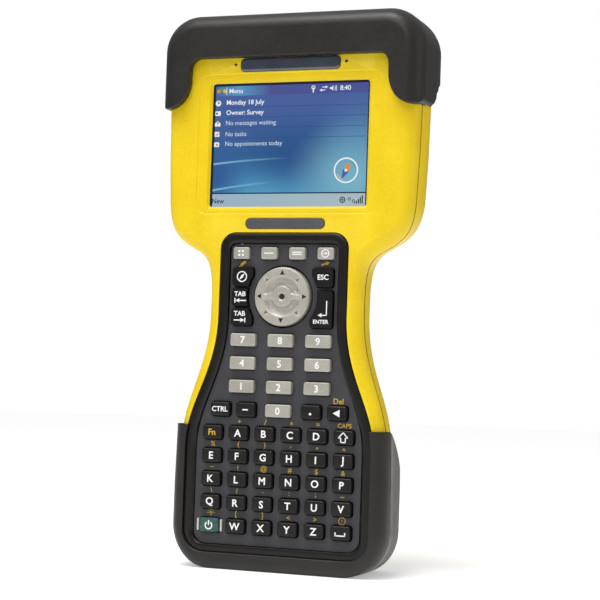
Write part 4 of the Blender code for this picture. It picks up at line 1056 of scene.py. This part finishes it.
def makeLetterRow(node, legends):
    near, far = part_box(node)[0].y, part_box("key_5")[1].y
    used = [(text, *place) for text, place in zip(legends, letterPlaces(node)) if text]
    for text, x, z in used:
        bm = keyCap(*letterCorners(x, z, near, far), letter["corner"], "black")
        if text == "shift":
            sign = shiftSign(x, z)
        elif text == "space":
            sign = spaceSign(x, z)
        else:
            sign = lettering(text, (x, z), 0.0040 if text == "Fn" else 0.0047, keyTop)
        joinShape(bm, sign, 1)
        looks = ["black", "orangeInk" if text == "Fn" else "white"]
        makePiece("letter_key_" + text.lower(), bm, looks, body=node, replaced=[node])
    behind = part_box("keypad_plate")[1].y + gap
    web = block((used[0][1], behind, z - 0.0013), (used[-1][1], behind + 0.0008, z + 0.0013))
    makePiece("key_strip_" + legends[-2].lower() + legends[-1].lower()[0], web, "black", body=node)


singleKeys = [
    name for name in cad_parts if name.endswith("_key") or name.startswith(("soft_key", "key_"))]
for name in sorted(singleKeys):
    makeKey(name)
for node, legends in letterRows.items():
    makeLetterRow(node, legends)
print("keys made:", len(singleKeys), "single and", len(letterRows), "rows")


def makeBezel():
    low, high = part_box("keypad_bezel")
    shape = slab(
        bezelOutline(), low.y + 0.0009, high.y,
        front=[(0.00006, 0.00022), (0.00016, 0.0002), (0.0003, 0.00018), (0.0005, 0.00014), (0.0007, 0.0001),
               (0.0009, 0.00006), (0.0009, 0.0), (0.0006, -0.0002), (0.0005, -0.0004), (0.0004, -0.0005),
               (0.0004, -0.0003), (0.0008, 0.0)])
    shape = carved(shape, slab(plateOutline(gap), -beyond, -0.011))
    makePiece("bezel", shape, "bezel", replaced=["keypad_bezel"])


def makePlate():
    low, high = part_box("keypad_plate")
    openings, corner = [], letter["corner"] + opening
    for name in singleKeys:
        keyLow, keyHigh = keyBox(name)
        keyLow.y, keyHigh.y = low.y - 0.001, high.y + 0.001
        openings.append(keyCap(keyLow, keyHigh, corner, "black", name in roundPad, grow=opening))
    for node, legends in letterRows.items():
        for text, (x, z) in zip(legends, letterPlaces(node)):
            if text:
                corners = letterCorners(x, z, low.y - 0.001, high.y + 0.001)
                openings.append(keyCap(*corners, corner, "black", grow=opening))
    openings.append(rod((0, low.y - 0.001, padCentre.z), (0, high.y + 0.001, padCentre.z),
        padRadius + 0.0008, 72))
    shape = carved(slab(plateOutline(), low.y, high.y), gathered(*openings))
    makePiece("keypad_face", shape, "plate", replaced=["keypad_plate"])
    x, z = middleOf("power_key")
    for side, offset in (("left", -0.0060), ("right", 0.0056)):
        rib = slab(
            outlineAbout(x + offset, z, 0.00045, 0.0028, 0.0004, 5), low.y - 0.0010, low.y + 0.0003,
            front=[(0.0002, 0.0002)])
        makePiece("power_guard_" + side, rib, "lightInk")


def makePlatePrint():
    marks = {
        "fn_to_shift_keys": ["", "+", "/", "*", "=", "CAPS"],
        "e_to_j_keys": ["%", "(", ")", "'", "\"", "^"], "k_to_p_keys": ["_", "!", "@", "#", "$", "&"],
        "q_to_v_keys": ["\\", "?", ".", ":", ";", "~"], "w_to_space_keys": ["", "[", "]", "<", ">", ""]}
    shapes = []
    for node, row in marks.items():
        for text, (x, z) in zip(row, letterPlaces(node)):
            if text:
                size = 0.0029 if text == "CAPS" else 0.0034
                shapes.append(lettering(text, (x - 0.0002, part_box(node)[1].z + 0.0020), size,
                    plateFront, 0.014))

    def above(node, rise):
        return middleOf(node)[0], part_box(node)[1].z + rise

    shapes.append(lettering("Del", above("backspace_key", 0.0021), 0.0036, plateFront, 0.012))
    x, z = letterPlaces("w_to_space_keys")[-1][0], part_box("w_to_space_keys")[1].z + 0.0020
    shapes += [hoop((x, z), 0.0016, 0.0003, plateFront), lettering("?", (x, z), 0.0020, plateFront, 0.004)]
    x, z = above("power_key", 0.0022)
    shapes += [disc((x, z), 0.00075, plateFront), stroke((x, z - 0.0012), (x, z), 0.0008, plateFront)]
    for angle in range(0, 181, 36):
        ray = Vector((math.cos(math.radians(angle)), math.sin(math.radians(angle))))
        shapes.append(stroke(Vector((x, z)) + ray * 0.0012, Vector((x, z)) + ray * 0.0019,
            0.00025, plateFront))
    makePiece("yellow_print", gathered(*shapes), "yellowInk")
    leaf = curve((0.0012, 0.0010), (0.0006, 0.0016), (-0.0014, 0.0008), (-0.0020, -0.0012), 8)
    leaf += curve((-0.0020, -0.0012), (-0.0006, -0.0008), (0.0012, -0.0004), (0.0012, 0.0010), 8)
    x, z = middleOf("soft_key_1")[0] + 0.0006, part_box("soft_key_1")[0].z - 0.0019
    x2, z2 = middleOf("soft_key_4")[0] - 0.0006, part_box("soft_key_4")[0].z - 0.0018
    bright = gathered(
        patch([(x + a * 0.95, z + b * 0.95) for a, b in leaf], plateFront),
        stroke((x - 0.0024, z - 0.0015), (x - 0.0004, z - 0.0010), 0.0004, plateFront),
        stroke((x2 - 0.0020, z2 - 0.0006), (x2 + 0.0006, z2 + 0.0002), 0.0007, plateFront),
        triangle((x2 + 0.0010, z2 + 0.0004), 0.0011, 18, plateFront))
    makePiece("bright_print", bright, "orangeInk")


pad = {
    "top": -0.0203, "boss": 0.0044, "hollow": 0.0099, "depth": 0.0019, "arrow": 0.0109, "corner": 0.0107,
    "dot": 0.0019, "flat": 0.0122}


def padHeight(x, z):
    # how far the pad's face is pushed in: two hollows, above and below a ridge that runs out from the boss
    radius = math.hypot(x, z)
    ridge = abs(z) - 0.0022 * max(0.0, 1 - abs(x) / 0.0098)
    outside = min(radius - pad["boss"], ridge)
    return pad["depth"] * eased(outside / 0.0017) * eased((pad["hollow"] - radius) / 0.0030)


def makeNavigationPad():
    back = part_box("nav_pad")[1].y
    centre = (padCentre.x, 0.0, padCentre.z)
    profile = [(pad["dot"] * i / 3, pad["top"]) for i in range(4)]
    profile += [(pad["dot"] + (pad["flat"] - pad["dot"]) * i / 34, pad["top"]) for i in range(1, 35)]
    profile += [(0.0127, -0.02028), (0.0130, -0.0202), (0.0133, -0.02003), (0.01355, -0.01975),
        (0.0137, -0.0193),
                (padRadius, -0.0187), (padRadius, back), (0.0, back)]
    bm = turned(profile, centre, steps=96)
    for vertex in bm.verts:
        if vertex.co.y < pad["top"] + 0.0001:
            x, z = vertex.co.x - centre[0], vertex.co.z - centre[2]
            radius = math.hypot(x, z)
            vertex.co.y += padHeight(x, z) - 0.0001 * max(0.0, 1 - radius / pad["boss"])
            if radius < pad["dot"] + 0.00002:
                vertex.co.y += 0.0006 if radius < pad["dot"] - 0.0001 else 0.0002

    def around(turn, reach):
        angle = math.radians(turn)
        return centre[0] + reach * math.cos(angle), centre[2] + reach * math.sin(angle)

    for turn in range(0, 360, 90):
        joinShape(bm, triangle(around(turn, pad["arrow"]), 0.0014, turn, pad["top"]), 1)
    for turn in range(45, 360, 90):
        x, z = around(turn, pad["corner"])
        joinShape(bm, triangle((x, z - 0.00028), 0.00125, turn, pad["top"] + 0.00002), 3)
        joinShape(bm, triangle((x, z), 0.00115, turn, pad["top"]), 2)
    # a black insert in the centre hole: painted shade for the hole's dark depth
    dot = turned(
        [(0.0, pad["top"] + 0.0003), (0.0008, pad["top"] + 0.00034),
        (pad["dot"] - 0.0001, pad["top"] + 0.0006),
         (0.0, pad["top"] + 0.0009)], centre, steps=32)
    joinShape(bm, dot, 1)
    makePiece(
        "navigation_pad", bm, ["silver", "blackInk", "greyInk", "lightInk"],
        body="nav_pad", replaced=["nav_pad"])


makeBezel()
makePlate()
makePlatePrint()
makeNavigationPad()
print("keypad made")


# Badge, name plate and screen
def makePlates():
    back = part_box("badge_plate")[1].y
    badge = slab(
        outlineOfNode("badge_plate", 0.0, 0.0022, 8), back - 0.0004, back,
        front=[(0.00012, 0.00022), (0.0003, 0.0002), (0.0004, 0.00012), (0.0006, 0.00005), (0.0007, 0.00001)])
    makePiece("badge", badge, "badge", replaced=["badge_plate"])
    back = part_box("name_plate")[1].y
    plate = slab(
        outlineOfNode("name_plate", 0.0, 0.0023, 10), back - 0.0004, back,
        front=[(0.0001, 0.0002), (0.0002, 0.00014)])
    makePiece("name_pill", plate, "nameplate", replaced=["name_plate"])


def onScreen(u, v):
    # a place on the picture, from its left foot, as shares of its width and height
    return screenSizes["left"] + u * screenSizes["width"], screenSizes["foot"] + v * screenSizes["height"]


def makeScreen():
    low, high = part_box("touch_panel")
    glass = slab(outlineOfNode("touch_panel", 0.0, 0.001, 4), low.y, high.y)
    makePiece("screen_panel", glass, "picture", replaced=["touch_panel"])
    front = low.y + 0.00001
    over = front - 0.00002  # for a mark that lies on another
    rows = [(0.845, "Monday 18 July", 0.0031, "screenWhite"), (0.762, "Owner: Survey", 0.0031, "screenWhite"),
            (0.677, "No messages waiting", 0.0030, "screenSoft"), (0.592, "No tasks", 0.0030, "screenSoft"),
            (0.507, "No appointments today", 0.0030, "screenSoft")]
    looks = ["screenWhite", "screenSoft", "screenDark", "screenOrange", "screenGreen",
        "screenYellow", "screenBlue"]
    bm = bmesh.new()

    def put(shape, look):
        joinShape(bm, shape, looks.index(look))

    def placed(text, u, v, size, look, bold=0.008):
        # left edge at u
        shape = lettering(text, onScreen(u, v), size, front, bold)
        left = min(vertex.co.x for vertex in shape.verts)
        bmesh.ops.translate(shape, verts=shape.verts, vec=(onScreen(u, v)[0] - left, 0, 0))
        put(shape, look)

    for v, text, size, look in rows:
        placed(text, 0.085, v, size, look, 0.016 if look == "screenWhite" else 0.0)
    placed("Menu", 0.10, 0.945, 0.0032, "screenWhite")
    put(stroke(onScreen(0.083, 0.915), onScreen(0.083, 0.975), 0.0003, front), "screenWhite")
    placed("8:40", 0.815, 0.946, 0.0031, "screenWhite", 0.014)
    placed("New", 0.012, 0.045, 0.0031, "screenDark", 0.016)
    # title bar: a small map sign, an aerial, a data link and a loudspeaker
    for number, look in enumerate(("screenOrange", "screenGreen", "screenYellow")):
        put(disc(onScreen(0.030 + 0.020 * number, 0.945 + 0.012 * (number % 2)), 0.00095, front), look)
    x, z = onScreen(0.645, 0.955)
    put(gathered(hoop((x, z), 0.0008, 0.00035, front), stroke((x, z), (x, z - 0.0024), 0.0006, front)),
        "screenWhite")
    x, z = onScreen(0.710, 0.945)
    put(gathered(
        stroke((x - 0.0014, z - 0.0008), (x + 0.0008, z - 0.0008), 0.0004, front),
        triangle((x - 0.0012, z - 0.0008), 0.0008, 180, front),
        triangle((x + 0.0014, z + 0.0006), 0.0008, 0, front),
        stroke((x - 0.0006, z + 0.0006), (x + 0.0014, z + 0.0006), 0.0004, front)), "screenWhite")
    x, z = onScreen(0.765, 0.945)
    put(gathered(
        patch([(x - 0.0012, z - 0.0004), (x - 0.0004, z - 0.0004), (x + 0.0005, z - 0.0012),
        (x + 0.0005, z + 0.0012),
               (x - 0.0004, z + 0.0004), (x - 0.0012, z + 0.0004)], front),
        hoop((x + 0.0002, z), 0.0013, 0.0003, front, -40, 40, 6),
        hoop((x + 0.0002, z), 0.0020, 0.0003, front, -40, 40, 6)), "screenWhite")
    # list signs: a clock, a card, a letter, a ticked box and a diary page
    x, z = onScreen(0.030, 0.845)
    put(disc((x, z), 0.0014, front), "screenWhite")
    put(strokes([(x, z + 0.0009), (x, z), (x + 0.0007, z + 0.0003)], 0.0004, over), "screenDark")
    x, z = onScreen(0.030, 0.762)
    put(patch(outlineAbout(x, z, 0.0014, 0.0011, 0.0003, 2), front), "screenWhite")
    put(disc((x - 0.0006, z), 0.0005, over, 12), "screenDark")
    x, z = onScreen(0.030, 0.677)
    put(patch([(x - 0.0014, z - 0.0012), (x + 0.0014, z - 0.0012), (x + 0.0014, z + 0.0003), (x, z + 0.0014),
               (x - 0.0014, z + 0.0003)], front), "screenWhite")
    put(triangle((x, z + 0.0003), 0.0009, 270, over), "screenOrange")
    x, z = onScreen(0.028, 0.592)
    put(patch(outlineAbout(x, z, 0.0012, 0.0012, 0.0002, 2), front), "screenWhite")
    put(strokes([(x - 0.0006, z), (x - 0.0001, z - 0.0006), (x + 0.0008, z + 0.0008)], 0.0005, over),
        "screenOrange")
    x, z = onScreen(0.028, 0.507)
    put(patch(outlineAbout(x, z, 0.0013, 0.0011, 0.0004, 2), front), "screenWhite")
    put(disc((x + 0.0002, z - 0.0001), 0.0006, over, 12), "screenOrange")
    # foot bar: a ring, two links and a signal strength
    x, z = onScreen(0.852, 0.050)
    put(gathered(hoop((x, z), 0.0012, 0.0005, front), disc((x, z), 0.0005, front)), "screenDark")
    x, z = onScreen(0.895, 0.058)
    put(gathered(hoop((x, z), 0.0006, 0.0003, front), hoop((x + 0.0020, z - 0.0010), 0.0006, 0.0003, front)),
        "screenDark")
    x, z = onScreen(0.955, 0.030)
    for number in range(5):
        bar = [(x - 0.0020 + 0.0009 * number, z - 0.0006),
            (x - 0.0020 + 0.0009 * number, z - 0.0001 + 0.0008 * number)]
        put(stroke(*bar, 0.00055, front), "screenDark")
    # a survey compass low on the right
    x, z = onScreen(0.868, 0.285)
    put(hoop((x, z), 0.0056, 0.0007, front), "screenWhite")
    put(hoop((x, z), 0.0045, 0.0004, front, 20, 70, 8), "screenGreen")
    put(hoop((x, z), 0.0045, 0.0004, front, 200, 250, 8), "screenYellow")
    lean = Vector((0.45, 0.89)).normalized()
    across = Vector((lean.y, -lean.x)) * 0.0016
    put(patch([tuple(Vector((x, z)) + p) for p in (lean * 0.0047, across, -across)], front), "screenOrange")
    put(patch([tuple(Vector((x, z)) + p) for p in (-lean * 0.0047, -across, across)], front), "screenBlue")
    put(disc((x, z), 0.0007, over), "screenWhite")
    makePiece("screen_signs", bm, looks)


makePlates()
makeScreen()
print("screen made")


# Back and foot
def makeBattery():
    s, rear = battery, housing["rear"]
    outline = roundedOutline((-s["half"], s["low"]), (s["half"], s["high"]), 0.0015, 5)
    shape = slab(outline, s["front"], rear - 0.0010, rear=roundedOver(0.0010, 0.0010, 4))
    low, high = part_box("battery_cells")
    tools = [block((low.x - gap, s["front"] - 0.001, low.z - gap),
        (high.x + gap, high.y + gap, high.z + gap))]
    for z in s["screws"]:
        tools.append(rod((0, s["seat"] - gap, z), (0, beyond, z), 0.0040, 48))
        tools.append(rod((0, -0.024, z), (0, beyond, z), 0.0023, 32))
    grooves = []
    for number in range(4):
        for z in (0.0885 + 0.0020 * number, 0.1275 + 0.0020 * number):
            grooves.append(slab(outlineAbout(0, z, 0.013, 0.00045, 0.00044, 4), rear - 0.0005, beyond))
    tools.append(gathered(*grooves))
    tools.append(slab(roundedOutline((-0.0145, 0.0985), (0.0145, 0.1235), 0.0015, 5), rear - 0.0002, beyond))
    shape = carved(shape, *tools)
    makePiece(
        "battery_cover", shape, "darkPlastic", body="battery",
        replaced=["battery_case"], edge=0.00025)
    label = slab(roundedOutline((-0.0140, 0.0990), (0.0140, 0.1230), 0.0012, 5),
        rear - 0.00018, rear - 0.00010)
    makePiece("battery_label", label, "nameplate", body="battery")
    for side, z in zip(("bottom", "top"), s["screws"]):
        node = "battery_screw_" + side
        low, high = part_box(node)
        head = [(0.0, high.y), (0.0026, high.y), (0.0031, high.y - 0.0002), (0.0035, high.y - 0.0005),
                (0.0036, high.y - 0.0009), (0.0036, s["seat"] + 0.0002), (0.0034, s["seat"]),
                (0.0019, s["seat"]),
                (0.0019, low.y + 0.0005), (0.0014, low.y), (0.0, low.y)]
        screw = turned(head, (0, 0, z), steps=48)
        slot = block((-0.008, high.y - 0.0009, z - 0.0006), (0.008, beyond, z + 0.0006))
        makePiece(
            "coin_screw_" + side, carved(screw, slot), "steel", body=node,
            replaced=[node], edge=0.0001)


def makeHousingScrews():
    for side in ("left", "right"):
        node = "housing_screw_" + side
        low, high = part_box(node)
        x, z = middleOf(node)
        seat = high.y - 0.0022
        head = [(0.0, high.y), (0.0012, high.y - 0.0001), (0.0020, high.y - 0.0005),
            (0.0026, high.y - 0.0011),
                (0.0027, seat), (0.0015, seat), (0.0015, low.y), (0.0, low.y)]
        cross = [block((x - 0.0014, high.y - 0.0010, z - 0.0003), (x + 0.0014, 0.03, z + 0.0003)),
                 block((x - 0.0003, high.y - 0.0010, z - 0.0014), (x + 0.0003, 0.03, z + 0.0014))]
        screw = carved(turned(head, (x, 0, z), steps=32), *cross)
        makePiece("case_screw_" + side, screw, "steel", replaced=[node])


def makePorts():
    # the serial socket's pins, the small socket's tongue and the jack's pin
    low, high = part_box("serial_port")
    middle = (low + high) / 2
    wall = Vector((0.0016, 0.0016, 0))
    body = block(low + wall + Vector((0, 0, 0.0022)), Vector((high.x, high.y, low.z + 0.0036)) - wall, 0.0003)
    makePiece("serial_insulator", body, "insulator")
    pins = []
    for row, count in ((0, 5), (1, 4)):
        for number in range(count):
            x = middle.x + (number - (count - 1) / 2) * 0.0028
            y = middle.y + (row - 0.5) * 0.0026
            pins.append(turned(
                [(0.0, low.z + 0.0005), (0.0003, low.z + 0.0006), (0.0005, low.z + 0.0010),
                (0.0005, low.z + 0.0024),
                 (0.0, low.z + 0.0024)], (x, y, 0), "Z", 14))
    makePiece("serial_pins", gathered(*pins), "gold")
    for side, x in (("left", middle.x - 0.0150), ("right", middle.x + 0.0150)):
        nut = rod((x, middle.y, 0.0066), (x, middle.y, 0.0089), 0.0021, 6)
        nut = carved(nut, rod((x, middle.y, 0.006), (x, middle.y, 0.0085), 0.0012, 24))
        makePiece("jack_nut_" + side, nut, "steel", edge=0.0002)
    low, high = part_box("usb_port")
    tongue = block(
        (low.x + 0.0028, (low.y + high.y) / 2 - 0.0007, low.z + 0.0010),
        (high.x - 0.0028, (low.y + high.y) / 2 + 0.0007, low.z + 0.0037), 0.0002)
    makePiece("usb_tongue", tongue, "insulator")
    low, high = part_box("power_jack")
    middle = (low + high) / 2
    pin = turned(
        [(0.0, low.z + 0.0008), (0.0005, low.z + 0.0010), (0.0008, low.z + 0.0016), (0.0008, low.z + 0.0088),
         (0.0, low.z + 0.0088)], (middle.x, middle.y, 0), "Z", 20)
    makePiece("jack_pin", pin, "tinned")


def makeStylus():
    s = stylus
    top, radius = s["top"], s["radius"]
    profile = [(0.0, s["base"]), (0.0005, s["base"] + 0.0001), (0.0008, s["base"] + 0.0006),
        (0.0012, s["base"] + 0.002),
               (0.0022, s["base"] + 0.0065), (radius, s["base"] + 0.010)]
    profile += [(radius, top - 0.0120), (radius - 0.0003, top - 0.0118), (radius - 0.0003, top - 0.0110),
                (radius, top - 0.0108)]
    for number in range(4):
        z = top - 0.0085 + number * 0.0016
        profile += [(radius, z), (radius - 0.00025, z + 0.0003), (radius - 0.00025, z + 0.0006),
            (radius, z + 0.0009)]
    profile += [(radius, top - 0.0009), (radius - 0.0002, top - 0.0004), (radius - 0.0007, top), (0.0, top)]
    bm = turned(profile, (s["x"], s["y"], 0), "Z", 40)
    makePiece("stylus_pen", bm, "darkPlastic", body="stylus", replaced=["stylus"])


makeBattery()
makeHousingScrews()
makePorts()
makeStylus()
print("back and foot made")

# The inner pieces keep their shapes and take their finishes
innerLooks = {
    "keypad_mat": "deep", "housing_seal": "rubber", "keypad_board": "board", "main_board": "board",
    "display_module": "aluminium", "display_carrier": "darkPlastic", "battery_cells": "cells",
    "backup_cell": "steel", "speaker": "cone", "card_slot": "tinned", "nav_gimbal": "steel",
    "serial_port": "tinned", "usb_port": "tinned", "power_jack": "deep"}
for node, look in innerLooks.items():
    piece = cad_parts[node]
    for materialSlot in piece.material_slots:
        materialSlot.material = finishes[look]
print("inner pieces finished:", len(innerLooks))


# Floor and light
studio = {
    "floor": 6.0, "overhead": 0.60, "horizon": 0.09, "floorGlow": 0.32,
    "sun": {"from": (-0.30, -0.80, 1.30), "strength": 0.85, "spread": 50.0},
    "key": {"place": (0.05, -1.15, 0.95), "size": 0.45, "power": 2.2},
    "rim": {"place": (1.10, 0.10, 0.55), "size": 0.5, "power": 0.8},
    "top": {"place": (-0.10, -0.30, 1.05), "size": 0.40, "power": 4.6},
}

ground = bmesh.new()
bmesh.ops.create_circle(ground, cap_ends=True, segments=96, radius=studio["floor"] / 2)
groundMesh = bpy.data.meshes.new("floor")
ground.to_mesh(groundMesh)
ground.free()
floor = bpy.data.objects.new("floor", groundMesh)
bpy.context.scene.collection.objects.link(floor)
paper = Finish("floor_paper", Roughness=0.9)
grain = paper.noise(30.0, 3.0)
paper.feed(Base_Color=paper.mix(grain, tint("#F6F6F6"), tint("#FAFAFA")))
paper.feed(Emission_Color=(1.0, 1.0, 1.0, 1.0), Emission_Strength=studio["floorGlow"])
groundMesh.materials.append(paper.material)


def placeLight(name, light, place):
    lamp = bpy.data.objects.new(name, light)
    lamp.location = place
    aim = Vector((0, 0, 0.13)) - Vector(place)
    lamp.rotation_euler = aim.to_track_quat("-Z", "Y").to_euler()
    bpy.context.scene.collection.objects.link(lamp)


sun = bpy.data.lights.new("sun", "SUN")
sun.energy, sun.angle = studio["sun"]["strength"], math.radians(studio["sun"]["spread"])
placeLight("sun", sun, studio["sun"]["from"])
for name in ("key", "rim", "top"):
    soft = bpy.data.lights.new(name, "AREA")
    soft.energy, soft.size = studio[name]["power"], studio[name]["size"]
    placeLight(name, soft, studio[name]["place"])

# The sky is bright overhead and dim at eye height, and the camera sees plain white
world = bpy.data.worlds.new("studio")
bpy.context.scene.world = world
world.use_nodes = True
sky = Nodes(world.node_tree)
backdrop = sky.tree.nodes["Background"].inputs
height = sky.add("SeparateXYZ", {}, {"Vector": sky.add("TexCoord", {}, {}, "Generated")}, "Z")
direct = sky.add("LightPath", {}, {}, "Is Camera Ray")
glow = height.within() * studio["overhead"] + studio["horizon"]
plug(sky.tree, backdrop["Strength"], glow * (1.0 - direct) + direct)
plug(sky.tree, backdrop["Color"], (1.0, 1.0, 1.0, 1.0))
print("floor and lights made")
